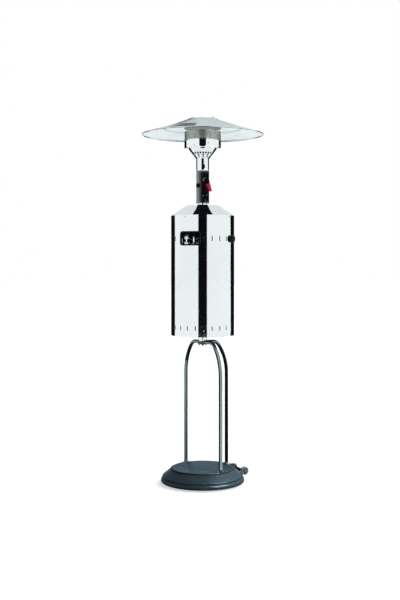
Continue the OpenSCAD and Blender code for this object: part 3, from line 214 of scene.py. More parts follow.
finishes = {
    # mirror polished sheet; only close views show that it is not quite flat
    "polished_steel": {
        "dark": (0.80, 0.85, 0.86), "light": (0.87, 0.90, 0.91), "metallic": 1.0,
        "roughness": (0.04, 0.065), "cloudScale": 3.0, "cloudStretch": (1, 1, 0.35),
        "markScale": 60, "markStretch": (1, 1, 40), "markDepth": 0.00005,
        "waveScale": 2.2, "waveStretch": (1, 1, 0.3), "waveDepth": 0.12,
    },
    "plain_steel": {
        "dark": (0.50, 0.52, 0.53), "light": (0.62, 0.64, 0.65), "metallic": 1.0,
        "roughness": (0.24, 0.40), "cloudScale": 30, "markScale": 500, "markDepth": 0.02,
    },
    "reflector_sheet": {
        "dark": (0.68, 0.76, 0.77), "light": (0.78, 0.85, 0.86), "metallic": 1.0,
        "roughness": (0.11, 0.19), "cloudScale": 5.0, "marks": "turned",
        "markScale": 900, "markDepth": 0.006,
        "waveScale": 5.0, "waveDepth": 1.2,
    },
    "mesh_steel": {
        "dark": (0.54, 0.57, 0.50), "light": (0.66, 0.69, 0.61), "metallic": 1.0,
        "roughness": (0.07, 0.12), "cloudScale": 12, "markScale": 700, "markDepth": 0.002,
    },
    "slate_paint": {
        "dark": (0.033, 0.058, 0.075), "light": (0.042, 0.070, 0.089), "metallic": 0.0,
        "roughness": (0.34, 0.44), "cloudScale": 8, "markScale": 900, "markDepth": 0.02,
        "specular": 0.11, "coat": 0.10, "coatRoughness": 0.16,
    },
    # a metallic paint
    "leg_paint": {
        "dark": (0.24, 0.29, 0.30), "light": (0.28, 0.33, 0.34), "metallic": 1.0,
        "roughness": (0.20, 0.27), "cloudScale": 10, "markScale": 1100, "markDepth": 0.01,
    },
    "bracket_paint": {
        "dark": (0.006, 0.007, 0.009), "light": (0.010, 0.011, 0.014), "metallic": 0.0,
        "roughness": (0.35, 0.50), "cloudScale": 20, "markScale": 1000, "markDepth": 0.03,
        "specular": 0.2,
    },
    "control_paint": {
        "dark": (0.20, 0.22, 0.23), "light": (0.23, 0.25, 0.26), "metallic": 1.0,
        "roughness": (0.30, 0.36), "cloudScale": 14, "markScale": 900, "markDepth": 0.008,
    },
    "black_plastic": {
        "dark": (0.004, 0.004, 0.006), "light": (0.008, 0.008, 0.011), "metallic": 0.0,
        "roughness": (0.32, 0.44), "cloudScale": 25, "markScale": 1400, "markDepth": 0.015,
        "specular": 0.12,
    },
    "lever_plastic": {
        "dark": (0.84, 0.018, 0.085), "light": (0.94, 0.045, 0.150), "metallic": 0.0,
        "roughness": (0.16, 0.26), "cloudScale": 40, "markScale": 1200, "markDepth": 0.01,
        "specular": 0.7, "coat": 1.0, "coatRoughness": 0.08,
    },
    "wheel_plastic": {
        "dark": (0.27, 0.285, 0.295), "light": (0.33, 0.345, 0.355), "metallic": 0.0,
        "roughness": (0.38, 0.52), "cloudScale": 30, "markScale": 900, "markDepth": 0.03,
    },
    "dark_screw": {
        "dark": (0.70, 0.72, 0.74), "light": (0.82, 0.84, 0.86), "metallic": 1.0,
        "roughness": (0.38, 0.50), "cloudScale": 60, "markScale": 900, "markDepth": 0.01,
    },
    "valve_brass": {
        "dark": (0.52, 0.36, 0.14), "light": (0.68, 0.50, 0.22), "metallic": 1.0,
        "roughness": (0.22, 0.38), "cloudScale": 40, "markScale": 900, "markDepth": 0.01,
    },
    # the inlet's end is blackened; the same black is laid on other pieces as painted shade
    "black_finish_and_painted_shade": {
        "dark": (0.010, 0.010, 0.011), "light": (0.022, 0.021, 0.021), "metallic": 0.6,
        "roughness": (0.35, 0.50), "cloudScale": 60, "markScale": 900, "markDepth": 0.01,
    },
    "burner_casting": {
        "dark": (0.035, 0.034, 0.033), "light": (0.075, 0.070, 0.066), "metallic": 0.5,
        "roughness": (0.55, 0.75), "cloudScale": 30, "markScale": 350, "markDepth": 0.15,
    },
    "concrete": {
        "dark": (0.26, 0.25, 0.24), "light": (0.38, 0.37, 0.35), "metallic": 0.0,
        "roughness": (0.80, 0.95), "cloudScale": 25, "markScale": 300, "markDepth": 0.4,
    },
    # black rubber of the feet; the same black is laid on some pieces as painted shade
    "foot_rubber": {
        "dark": (0.005, 0.006, 0.008), "light": (0.009, 0.010, 0.013), "metallic": 0.0,
        "roughness": (0.65, 0.85), "cloudScale": 40, "markScale": 800, "markDepth": 0.05,
        "specular": 0.08,
    },
    # pale paint of the dial's arc and ticks
    "mark_paint": {
        "dark": (0.78, 0.80, 0.81), "light": (0.86, 0.88, 0.89), "metallic": 0.0,
        "roughness": (0.45, 0.60), "cloudScale": 90, "markScale": 1500, "markDepth": 0.004,
    },
    # weld beads, painted over with the legs
    "weld_paint": {
        "dark": (0.10, 0.12, 0.13), "light": (0.16, 0.18, 0.19), "metallic": 0.6,
        "roughness": (0.35, 0.50), "cloudScale": 120, "markScale": 420, "markDepth": 0.10,
    },
}
otherFinish = {"gas_inlet": "black_finish_and_painted_shade", "hub_bolts": "black_finish_and_painted_shade", "leg_hub": "weld_paint"}
materials = {slot: makeFinish(slot.replace("_", " "), look) for slot, look in finishes.items()}

slotOfNode = {}
for entry in frame["record"].get("materials", []):
    for node in entry.get("nodes", []):
        slotOfNode[node] = entry["slot"]


def dressNodes():
    for name, node in nodes.items():
        slotName = otherFinish.get(name) or slotOfNode.get(name)
        old = node.material_slots[0].material.name if node.material_slots else ""
        material = materials.get(slotName) or materials.get(old.split(".")[0])
        if material is None:
            print("no finish for", name, "slot", slotName, "old", old)
            continue
        if not node.material_slots:
            node.data.materials.append(material)
        for place in node.material_slots:
            place.material = material


dressNodes()
print("finishes laid on the nodes")


def makeWorld():
    look = {"seen": 1.0, "soft": 0.15}
    world = bpy.data.worlds.new("studio")
    bpy.context.scene.world = world
    world.use_nodes = True
    tree = world.node_tree
    tree.nodes.clear()
    output = tree.nodes.new("ShaderNodeOutputWorld")
    mix = tree.nodes.new("ShaderNodeMixShader")
    seen = tree.nodes.new("ShaderNodeBackground")
    seen.inputs["Strength"].default_value = look["seen"]
    seen.inputs["Color"].default_value = (1, 1, 1, 1)
    soft = tree.nodes.new("ShaderNodeBackground")
    soft.inputs["Strength"].default_value = look["soft"]
    soft.inputs["Color"].default_value = (0.98, 0.99, 1, 1)
    tree.links.new(raysThatSee(tree), mix.inputs["Fac"])
    tree.links.new(soft.outputs["Background"], mix.inputs[1])
    tree.links.new(seen.outputs["Background"], mix.inputs[2])
    tree.links.new(mix.outputs["Shader"], output.inputs["Surface"])


def raysThatSee(tree):
    path = tree.nodes.new("ShaderNodeLightPath")
    first = tree.nodes.new("ShaderNodeMath")
    first.operation = "MAXIMUM"
    tree.links.new(path.outputs["Is Camera Ray"], first.inputs[0])
    tree.links.new(path.outputs["Is Glossy Ray"], first.inputs[1])
    second = tree.nodes.new("ShaderNodeMath")
    second.operation = "MAXIMUM"
    tree.links.new(first.outputs[0], second.inputs[0])
    tree.links.new(path.outputs["Is Transmission Ray"], second.inputs[1])
    return second.outputs[0]


def makeFloor():
    look = {"halfSize": 40.0, "below": 0.0002, "glow": 0.60, "mirrorGlow": 0.39,
            "colour": (0.60, 0.605, 0.61)}
    bm = bmesh.new()
    bmesh.ops.create_grid(bm, x_segments=8, y_segments=8, size=look["halfSize"])
    mesh = bpy.data.meshes.new("floor")
    bm.to_mesh(mesh)
    bm.free()
    floor = bpy.data.objects.new("floor", mesh)
    floor.location.z = -look["below"]
    bpy.context.scene.collection.objects.link(floor)
    material = bpy.data.materials.new("studio floor")
    material.use_nodes = True
    tree = material.node_tree
    tree.nodes.clear()
    output = tree.nodes.new("ShaderNodeOutputMaterial")
    paper = tree.nodes.new("ShaderNodeBsdfDiffuse")
    paper.inputs["Color"].default_value = (*look["colour"], 1)
    glow = tree.nodes.new("ShaderNodeEmission")
    glow.inputs["Color"].default_value = (1, 1, 1, 1)
    path = tree.nodes.new("ShaderNodeLightPath")
    mirrored = tree.nodes.new("ShaderNodeMath")
    mirrored.operation = "MULTIPLY"
    mirrored.inputs[1].default_value = look["mirrorGlow"]
    tree.links.new(path.outputs["Is Glossy Ray"], mirrored.inputs[0])
    strength = tree.nodes.new("ShaderNodeMath")
    strength.operation = "MULTIPLY_ADD"
    strength.inputs[1].default_value = look["glow"]
    tree.links.new(path.outputs["Is Camera Ray"], strength.inputs[0])
    tree.links.new(mirrored.outputs[0], strength.inputs[2])
    tree.links.new(strength.outputs[0], glow.inputs["Strength"])
    both = tree.nodes.new("ShaderNodeAddShader")
    tree.links.new(paper.outputs[0], both.inputs[0])
    tree.links.new(glow.outputs[0], both.inputs[1])
    tree.links.new(both.outputs[0], output.inputs["Surface"])
    mesh.materials.append(material)


def makeFlags():
    # cards that only mirrors see: they draw the dark lines down polished metal
    # each stands on a line in plan, from one end to the other, between two heights
    black = (0.004, 0.004, 0.007)
    look = {
        "front": {"ends": ((-1.78, -6.4), (1.78, -6.4)), "heights": (0.3, 2.2)},
        "front high": {"ends": ((-2.5, -6.4), (2.5, -6.4)), "heights": (2.2, 3.1)},
        "rear low left": {"ends": ((-5.2, 3.0), (-0.65, 3.0)), "heights": (0.42, 1.95)},
        "rear low right": {"ends": ((0.65, 3.0), (5.2, 3.0)), "heights": (0.42, 1.95)},
        "edge left": {"ends": ((-0.262, 0.35), (-0.196, 0.35)), "heights": (0.84, 1.64)},
        "edge right": {"ends": ((0.196, 0.35), (0.262, 0.35)), "heights": (0.84, 1.64)},
        "rear high left": {"ends": ((-5.2, 3.0), (-0.65, 3.0)), "heights": (2.13, 3.0)},
        "rear high right": {"ends": ((0.65, 3.0), (5.2, 3.0)), "heights": (2.13, 3.0)},
        "behind base": {"ends": ((-0.60, 0.45), (0.60, 0.45)), "heights": (0.10, 0.62),
                        "colour": (0.20, 0.30, 0.36)},
        "lever light": {"ends": ((0.285, -0.245), (0.325, -0.175)), "heights": (1.775, 1.845),
                        "colour": (8.0, 7.6, 8.0)},
        "grey sky": {"ends": ((-9, 5.5), (9, 5.5)), "heights": (2.15, 7.5), "colour": (0.64, 0.69, 0.70)},
    }
    for name, card in look.items():
        (x0, y0), (x1, y1) = card["ends"]
        z0, z1 = card["heights"]
        corners = [(x0, y0, z0), (x1, y1, z0), (x1, y1, z1), (x0, y0, z1)]
        addCard(name, corners, card.get("colour", black))


def makeLevelCards():
    # level cards, by their corners in plan
    look = {
        "ceiling left": {"corners": ((-4.6, -1.5), (-1.2, -1.5), (-1.2, 3.5), (-4.6, 3.5)),
                         "height": 3.3, "colour": (0.01, 0.01, 0.012)},
        "rim light shield": {"corners": ((0.10, -0.75), (0.70, -0.75), (0.70, -0.10), (0.10, -0.10)),
                             "height": 0.48, "colour": (0.42, 0.42, 0.43)},
        "front floor": {"corners": ((-0.364, -1.4), (0.364, -1.4), (1.612, -6.2), (-1.612, -6.2)),
                        "height": 0.002, "colour": (0.006, 0.008, 0.008)},
    }
    for name, card in look.items():
        addCard(name, [(x, y, card["height"]) for x, y in card["corners"]], card["colour"])


def makeBrimSmear():
    # the dark smear that the top of the reflector mirrors, outlined as (x, z) far behind it
    look = {"y": 4.0, "colour": (0.01, 0.014, 0.016),
            "outline": ((-0.50, 3.50), (-0.34, 3.56), (-0.12, 3.74), (-0.12, 4.30), (-0.34, 4.12),
                        (-0.50, 3.88))}
    addCard("brim smear", [(x, look["y"], z) for x, z in look["outline"]], look["colour"])


def makeRimLight():
    # a small bright card for the glint on the base's rim
    look = {"at": (0.32, -0.363, 0.256), "across": (0.55, 0.83, 0), "up": (-0.55, 0.36, 0.75),
            "half": 0.15, "colour": (30.0, 34.0, 36.0)}
    across, up = Vector(look["across"]) * look["half"], Vector(look["up"]) * look["half"]
    corners = [Vector(look["at"]) + i * across + j * up for i, j in ((-1, -1), (1, -1), (1, 1), (-1, 1))]
    addCard("rim light", corners, look["colour"])


def addArcCard(name, path, radius, fromAzimuth, toAzimuth, colour, topColour=None):
    # a card bent round an upright line; path is a list of places in mm
    steps = 40
    bm = bmesh.new()
    rows = []
    for place in path:
        row = []
        for k in range(steps + 1):
            a = math.radians(fromAzimuth + (toAzimuth - fromAzimuth) * k / steps)
            row.append(bm.verts.new((place + Vector((math.sin(a), -math.cos(a), 0)) * radius) * mm))
        rows.append(row)
    for low, high in zip(rows, rows[1:]):
        for k in range(steps):
            bm.faces.new((low[k], low[k + 1], high[k + 1], high[k]))
    stageCard(name, bm, colour, topColour)


def makeControlCards():
    # the controls are light on the left side and dark on the right, in steps that blur together
    look = {"radius": 61, "heights": (1679, 1866), "tint": (1.0, 1.06, 1.08),
            "steps": ((-148, -56, 0.90), (-56, -40, 0.54), (-40, -26, 0.28), (-26, -14, 0.085),
                      (-14, 212, 0.004))}
    for start, end, light in look["steps"]:
        colour = [light * c for c in look["tint"]]
        addArcCard("controls", uprightPath(look), look["radius"], start, end, colour)


def makeBurnerCards():
    # the burner and the neck are dark at the sides, and the burner has a dark stripe at the front
    look = {
        "burner stripe": {"radius": 150, "heights": (2052, 2112), "between": (-13.5, 13.5),
                          "colour": (0.045, 0.065, 0.055)},
        "burner sides": {"radius": 150, "heights": (2052, 2112), "between": (76, 284),
                         "colour": (0.13, 0.18, 0.15)},
        "neck sides": {"radius": 60, "heights": (1868, 1948), "between": (78, 282),
                       "colour": (0.004, 0.004, 0.007)},
    }
    for name, card in look.items():
        addArcCard(name, uprightPath(card), card["radius"], *card["between"], card["colour"])


def uprightPath(card):
    # straight up the post, between two heights in mm
    return [Vector((0, 0, z)) for z in card["heights"]]


def makeRingCards():
    # level rings round the post, sizes in mm
    look = {
        "beside funnel": {"inner": 96, "outer": 200, "z": 1935, "between": (98, 262),
                          "colour": (0.02, 0.02, 0.024)},
        "under deflector": {"inner": 0, "outer": 108, "z": 2110, "colour": (0.34, 0.36, 0.33)},
        "under funnel": {"inner": 43, "outer": 160, "z": 1872, "colour": (0.90, 0.94, 0.95)},
        "floor by base": {"inner": 0, "outer": 1400, "z": 1.5, "colour": (0.006, 0.010, 0.014)},
    }
    steps = 48
    for name, card in look.items():
        start, end = card.get("between", (0, 360))
        bm = bmesh.new()
        for k in range(steps):
            a, b = start + (end - start) * k / steps, start + (end - start) * (k + 1) / steps
            corners = [aroundAxis(card["outer"], a, card["z"]), aroundAxis(card["outer"], b, card["z"])]
            if card["inner"]:
                corners.append(aroundAxis(card["inner"], b, card["z"]))
            corners.append(aroundAxis(card["inner"], a, card["z"]))
            bm.faces.new([bm.verts.new(c) for c in corners])
        stageCard(name, bm, card["colour"])


def makeLegCards():
    # what each leg mirrors, between two azimuths as seen from the leg; low and high are its two ends
    look = {
        "front right": {"light": (-24, 118), "low": (1.05, 1.16, 1.18), "high": (0.85, 0.92, 0.93)},
        "rear right": {"light": (72, 150), "low": (0.05, 0.05, 0.06), "high": (0.62, 0.66, 0.68)},
        "rear left": {"light": (-170, 40), "low": (0.22, 0.26, 0.29), "high": (0.60, 0.66, 0.69),
                      "bend": (0.02, 0.03, 0.04)},
    }
    tube = {"bend": 290, "bendZ": 647.7, "low": 99, "straightSteps": 8, "card": 34, "bendCard": 32}
    dark = (0.010, 0.012, 0.016)
    for azimuth, (name, leg) in zip(legs["azimuths"], look.items()):
        steps = tube["straightSteps"]
        line = [(legs["circle"], tube["low"] + (tube["bendZ"] - tube["low"]) * k / steps)
                for k in range(steps + 1)]
        for t in range(6, 37, 6):
            a = math.radians(t)
            line.append((legs["circle"] - tube["bend"] + tube["bend"] * math.cos(a),
                         tube["bendZ"] + tube["bend"] * math.sin(a)))
        path = [aroundAxis(r, azimuth, z) / mm for r, z in line]
        start, end = leg["light"]
        addArcCard(name + " leg light", path, tube["card"], start, end, leg["low"], leg["high"])
        addArcCard(name + " leg dark", path, tube["card"], end, start + 360, dark)
        if "bend" in leg:
            addArcCard(name + " bend", path[steps + 2:], tube["bendCard"], start, end, leg["bend"])


def makeConeCard():
    # stands in for the wide white card over the cone, with its dark gap at the front
    look = {"height": 1668, "inner": 84, "outer": 330, "gapInner": 17.0, "gapOuter": 27.5,
            "gapReach": 160, "white": (0.80, 0.84, 0.85), "black": (0.004, 0.004, 0.007)}
    steps, rings = 48, 6
    for name, colour, sides in (("cone gap", look["black"], False), ("cone card", look["white"], True)):
        bm = bmesh.new()
        for i in range(rings):
            r0 = look["inner"] + (look["outer"] - look["inner"]) * i / rings
            r1 = look["inner"] + (look["outer"] - look["inner"]) * (i + 1) / rings
            edges = []
            for r in (r0, r1):
                share = (r - look["inner"]) / (look["gapReach"] - look["inner"])
                edges.append(look["gapInner"] + (look["gapOuter"] - look["gapInner"]) * share)
            for k in range(steps):
                corner = []
                for r, half in ((r0, edges[0]), (r1, edges[1])):
                    low, high = (half, 360 - half) if sides else (-half, half)
                    corner.append(aroundAxis(r, low + (high - low) * k / steps, look["height"]))
                    corner.append(aroundAxis(r, low + (high - low) * (k + 1) / steps, look["height"]))
                bm.faces.new([bm.verts.new(corner[j]) for j in (0, 1, 3, 2)])
        stageCard(name, bm, colour)


def addCard(name, corners, colour):
    bm = bmesh.new()
    bm.faces.new([bm.verts.new(c) for c in corners])
    stageCard(name, bm, colour)


def stageCard(name, bm, colour, topColour=None):
    # a glowing card that only mirrors see; topColour fades in between the two heights, in metres
    look = {"fade": (0.10, 0.62), "strong": 2.0}
    mesh = bpy.data.meshes.new(name + " card")
    bm.to_mesh(mesh)
    bm.free()
    material = bpy.data.materials.new(name + " card")
    material.use_nodes = True
    tree = material.node_tree
    tree.nodes.clear()
    output = tree.nodes.new("ShaderNodeOutputMaterial")
    shine = tree.nodes.new("ShaderNodeEmission")
    shine.inputs["Color"].default_value = (*colour, 1)
    tree.links.new(shine.outputs[0], output.inputs["Surface"])
    if topColour:
        height = tree.nodes.new("ShaderNodeSeparateXYZ")
        tree.links.new(tree.nodes.new("ShaderNodeTexCoord").outputs["Object"], height.inputs[0])
        share = spread(tree, height.outputs["Z"], 0.0, 1.0, *look["fade"])
        tree.links.new(twoTone(tree, share, colour, topColour, 0.0, 1.0), shine.inputs["Color"])
    if max(colour) > look["strong"]:  # a strong card would shine through the others as a lamp
        material.cycles.emission_sampling = "NONE"
    mesh.materials.append(material)
    card = bpy.data.objects.new(name + " card", mesh)
    bpy.context.scene.collection.objects.link(card)
    card.visible_camera = False
    card.visible_diffuse = False
    card.visible_shadow = False
    card.visible_transmission = False
    card.visible_volume_scatter = False


def makeLamps():
    # two wide suns, which no mirror sees
    look = {
        "key": {"from": (0.62, 0.45, 0.82), "strength": 3.2, "angle": 45},
        "fill": {"from": (0.70, -0.40, 0.62), "strength": 0.70, "angle": 40},
    }
    for name, lamp in look.items():
        data = bpy.data.lights.new(name, "SUN")
        data.energy = lamp["strength"]
        data.angle = math.radians(lamp["angle"])
        light = bpy.data.objects.new(name, data)
        light.rotation_mode = "QUATERNION"
        light.rotation_quaternion = Vector(lamp["from"]).to_track_quat("Z", "Y")
        light.visible_glossy = False
        bpy.context.scene.collection.objects.link(light)


def makeCamera():
    look = {"place": (0, -5.745, 1.345), "lens": 57.45, "shiftX": -0.00441, "shiftY": -0.0698}
    data = bpy.data.cameras.new("camera")
    data.sensor_fit = "VERTICAL"
    data.sensor_height = 36
    data.lens = look["lens"]
    data.shift_x = look["shiftX"]
    data.shift_y = look["shiftY"]
    camera = bpy.data.objects.new("camera", data)
    camera.location = look["place"]
    camera.rotation_euler = (math.radians(90), 0, 0)
    bpy.context.scene.collection.objects.link(camera)
    bpy.context.scene.camera = camera


bpy.context.scene.view_settings.view_transform = "Standard"
makeWorld()
makeFloor()
makeFlags()
makeLevelCards()
makeBrimSmear()
makeRimLight()
makeConeCard()
makeControlCards()
makeBurnerCards()
makeRingCards()
makeLegCards()
makeLamps()
makeCamera()
print("studio ready")


def makeEmitterScreen():
    # the perforated screen round the burner: a ring of small round holes in thin sheet
    look = {"holesRound": 192, "rows": 16, "holeShare": 0.70, "sheet": 0.7, "plainLow": 3.0,
            "plainTop": 0.5, "shoulder": 8.0, "flange": 74.7}
    low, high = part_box("emitter_mesh")
    radius, zLow, zTop = high.x / mm, low.z / mm, high.z / mm
    shoulder = look["shoulder"]
    bm = bmesh.new()
    n = 2 * look["holesRound"]
    rowsLow, rowsHigh = zLow + look["plainLow"], zTop - shoulder - look["plainTop"]
    step = (rowsHigh - rowsLow) / look["rows"]

    def ring(r, z):
        return [bm.verts.new(aroundAxis(r, 360 * k / n, z)) for k in range(n)]

    levels = [ring(radius, rowsLow + step * j) for j in range(look["rows"] + 1)]
    joinRings(bm, ring(radius, zLow), levels[0])
    for j in range(look["rows"]):
        middle = ring(radius, rowsLow + step * (j + 0.5))
        used = set()
        lowRow, topRow = levels[j], levels[j + 1]
        for i in range(look["holesRound"]):
            k = 2 * i + (j % 2)
            outer = [
                lowRow[k % n], lowRow[(k + 1) % n], lowRow[(k + 2) % n], middle[(k + 2) % n],
                topRow[(k + 2) % n], topRow[(k + 1) % n], topRow[k % n], middle[k % n],
            ]
            used.add((k + 1) % n)
            centre = middle[(k + 1) % n].co
            azimuth = 360 * (k + 1) / n
            hole = look["holeShare"] * step / 2
            inner = []
            for t in (225, 270, 315, 0, 45, 90, 135, 180):
                dx, dz = hole * math.cos(math.radians(t)), hole * math.sin(math.radians(t))
                inner.append(bm.verts.new(
                    aroundAxis(radius, azimuth + math.degrees(dx / radius), centre.z / mm + dz)
                ))
            joinRings(bm, outer, inner)
        for k in used:
            bm.verts.remove(middle[k])
    previous = levels[-1]
    for t in range(0, 91, 15):
        a = math.radians(t)
        nextRing = ring(
            radius - shoulder + shoulder * math.cos(a), zTop - shoulder + shoulder * math.sin(a)
        )
        joinRings(bm, previous, nextRing)
        previous = nextRing
    flange = ring(look["flange"], zTop)
    joinRings(bm, previous, flange)
    bm.faces.new(flange)
    screen = addPiece("emitter_screen", bm, "stand", materials["mesh_steel"], 50)
    thicken = screen.modifiers.new("sheet", "SOLIDIFY")
    thicken.thickness = look["sheet"] * mm
    thicken.offset = -1
    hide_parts("emitter_mesh")


def prism(bm, place, radius, low, high, sides):
    # an upright prism in the local frame of place, sizes in mm
    ends = [
        [bm.verts.new(place @ (Vector((radius * math.cos(t), radius * math.sin(t), h)) * mm))
         for t in (2 * math.pi * k / sides for k in range(sides))]
        for h in (low, high)
    ]
    joinRings(bm, *ends)
    bm.faces.new(ends[0][::-1])
    bm.faces.new(ends[1])


def curvedPlate(bm, outline, inner, outer):
    # a thin plate on a cylinder: outline is a list of (azimuth, z), radii in mm
    faces = [[bm.verts.new(aroundAxis(r, a, z)) for a, z in outline] for r in (inner, outer)]
    joinRings(bm, *faces)
    bm.faces.new(faces[0][::-1])
    bm.faces.new(faces[1])


def patchOutline(fromAzimuth, toAzimuth, low, high):
    # the corners of an upright patch on a cylinder
    return [(fromAzimuth, low), (toAzimuth, low), (toAzimuth, high), (fromAzimuth, high)]


def makeDialMarks():
    # a plain arc and plain ticks round the control knob
    look = {"azimuth": 29.5, "z": 1801, "arcRadius": 22, "arcWidth": 2.0, "arcFrom": 84, "arcTo": 152,
            "surface": 39.0, "clear": 0.03, "proud": 0.25,
            "ticks": ((8, 1808, 2.4, 7.0), (4, 1717, 2.6, 6.5), (38, 1720, 2.6, 6.5),
                      (26, 1692, 5.0, 3.0), (-50, 1812, 2.2, 6.0))}
    bm = bmesh.new()
    low, high = look["surface"] + look["clear"], look["surface"] + look["proud"]

    def onDial(r, t):
        across, up = r * math.cos(math.radians(t)), r * math.sin(math.radians(t))
        return look["azimuth"] + math.degrees(math.asin(across / look["surface"])), look["z"] + up

    steps = 14
    inner, outer = look["arcRadius"] - look["arcWidth"] / 2, look["arcRadius"] + look["arcWidth"] / 2
    angles = [look["arcFrom"] + (look["arcTo"] - look["arcFrom"]) * k / steps for k in range(steps + 1)]
    for t0, t1 in zip(angles, angles[1:]):
        outline = [onDial(inner, t0), onDial(outer, t0), onDial(outer, t1), onDial(inner, t1)]
        curvedPlate(bm, outline, low, high)
    for azimuth, z, width, height in look["ticks"]:
        half = math.degrees(width / 2 / look["surface"])
        curvedPlate(bm, patchOutline(azimuth - half, azimuth + half, z - height / 2, z + height / 2),
                    low, high)
    addPiece("dial_marks", bm, "stand", materials["mark_paint"])


def makePlatformShadeRing():
    # a dark ring in the gap between the platform and the base cover: painted shade under the platform's edge
    look = {"inner": 188.15, "outer": 192.9, "low": 84.4, "high": 88.8, "round": 1.2}
    bm = bmesh.new()
    profile = [(look["inner"], look["low"]), (look["outer"], look["low"]),
               (look["outer"], look["high"] - look["round"])]
    for t in (30, 60, 90):
        a = math.radians(t)
        profile.append((look["outer"] - look["round"] * (1 - math.cos(a)),
                        look["high"] - look["round"] * (1 - math.sin(a))))
    profile.append((look["inner"], look["high"]))
    turnProfile(bm, profile, Matrix.Identity(4), 160)
    addPiece("platform_shade_ring", bm, "stand", materials["foot_rubber"], 50)


def makeWheelRings():
    # black rings pressed into the outer sides of the wheels
    look = {"azimuth": 122.5, "axle": 264, "z": 50, "face": 71, "inner": 8.4, "outer": 14.6,
            "bottom": -2.9, "top": -0.5, "bevel": 0.8}
    a = math.radians(look["azimuth"])
    tangent, out = Vector((math.cos(a), math.sin(a), 0)), Vector((math.sin(a), -math.cos(a), 0))
    profile = [(look["inner"], look["bottom"]), (look["outer"], look["bottom"]),
               (look["outer"], look["top"] - look["bevel"]), (look["outer"] - look["bevel"], look["top"]),
               (look["inner"] + look["bevel"], look["top"]), (look["inner"], look["top"] - look["bevel"])]
    for name, body, side in (("near_wheel_ring", "near_wheel", -1), ("far_wheel_ring", "far_wheel", 1)):
        axis = tangent * side
        turn = Matrix((out, axis.cross(out), axis)).transposed().to_4x4()
        centre = aroundAxis(look["axle"], look["azimuth"], look["z"]) + axis * look["face"] * mm
        place = Matrix.Translation(centre) @ turn
        bm = bmesh.new()
        turnProfile(bm, profile, place, 40)
        addPiece(name, bm, body, materials["black_plastic"])


def makeWelds():
    # beads round the legs on their foot plates and round the arms at the hub
    look = {"plate": 94.5, "tube": 11, "bead": 1.2, "lift": 0.6, "spread": 0.4, "arm": 842.5, "hub": 29.9}
    bm = bmesh.new()
    steps = 28
    reach = (look["tube"] + look["bead"] * look["spread"]) * mm
    circle = [Vector((math.cos(t), math.sin(t), 0)) for t in (2 * math.pi * k / steps for k in range(steps))]
    for azimuth in legs["azimuths"]:
        foot = aroundAxis(legs["circle"], azimuth, look["plate"] + look["bead"] * look["lift"])
        sweepLoop(bm, [foot + c * reach for c in circle], look["bead"] * mm)
        arm = outwardFrame(azimuth, look["arm"], look["hub"])
        sweepLoop(bm, [arm @ (c * reach) for c in circle], look["bead"] * mm,
                  upright=aroundAxis(1, azimuth, 0).normalized())
    addPiece("weld_beads", bm, "stand", materials["weld_paint"], 60)


def makeInletThread():
    # the thread of the gas inlet, a row of ridges
    look = {"root": 6.57, "crest": 7.15, "sunk": 0.3, "low": 820.6, "pitch": 1.6, "turns": 5}
    bm = bmesh.new()
    profile = [(look["root"] - look["sunk"], look["low"])]
    for k in range(look["turns"]):
        z = look["low"] + k * look["pitch"]
        profile += [(look["root"], z), (look["crest"], z + look["pitch"] / 2)]
    top = look["low"] + look["turns"] * look["pitch"]
    profile += [(look["root"], top), (look["root"] - look["sunk"], top)]
    turnProfile(bm, profile, Matrix.Identity(4), 36)
    addPiece("inlet_thread", bm, "stand", materials["black_finish_and_painted_shade"], 20)


def makeGripRibs():
    # small ribs round the grip knob
    look = {"azimuth": 62, "z": 1459, "radius": 21.0, "low": 198, "high": 206, "count": 18, "rib": 0.9}
    place = outwardFrame(look["azimuth"], look["z"])
    bm = bmesh.new()
    for k in range(look["count"]):
        t = 2 * math.pi * k / look["count"]
        offset = Matrix.Translation(Vector((math.cos(t), math.sin(t), 0)) * look["radius"] * mm)
        prism(bm, place @ offset, look["rib"], look["low"], look["high"], 8)
    addPiece("grip_ribs", bm, "housing", materials["black_plastic"])


def makeScrewSocketShade():
    # dark hexagons on the heads of the foot screws: painted shade standing in for their sockets
    look = {"half": 18, "head": 98, "socket": 2.3, "clear": 0.02, "proud": 0.15}
    bm = bmesh.new()
    for azimuth in legs["azimuths"]:
        a = math.radians(azimuth)
        for side in (-1, 1):
            spot = aroundAxis(legs["circle"], azimuth, look["head"])
            spot += Vector((math.cos(a), math.sin(a), 0)) * side * look["half"] * mm
            prism(bm, Matrix.Translation(spot), look["socket"], look["clear"], look["proud"], 6)
    addPiece("screw_socket_shade", bm, "stand", materials["black_plastic"])


def makeReflectorLines():
    # the dark line where the hem is rolled in, painted shade in the roll, and the shaded crease where the
    # dome meets the brim
    look = {
        "hem_shade_line": {"radius": 362.3, "z": 2083.9, "line": 1.1, "steps": 180, "finish": "black_finish_and_painted_shade"},
        "crease_line": {"radius": 235.2, "z": 2120.6, "line": 0.9, "steps": 150, "finish": "plain_steel"},
    }
    for name, ring in look.items():
        bm = bmesh.new()
        steps = ring["steps"]
        points = [aroundAxis(ring["radius"], 360 * k / steps, ring["z"]) for k in range(steps)]
        sweepLoop(bm, points, ring["line"] * mm)
        addPiece(name, bm, "stand", materials[ring["finish"]], 60)


def makeFunnelShade():
    # a dark sheet just inside the funnel: painted shade which the vent holes show
    look = {"low": (36.2, 1942), "high": (79.0, 1992.5), "sheet": 0.5}
    (r0, z0), (r1, z1) = look["low"], look["high"]
    bm = bmesh.new()
    profile = [(r0, z0), (r1, z1), (r1 - look["sheet"], z1), (r0 - look["sheet"], z0)]
    turnProfile(bm, profile, Matrix.Identity(4), 96)
    addPiece("funnel_shade", bm, "stand", materials["foot_rubber"], 60)


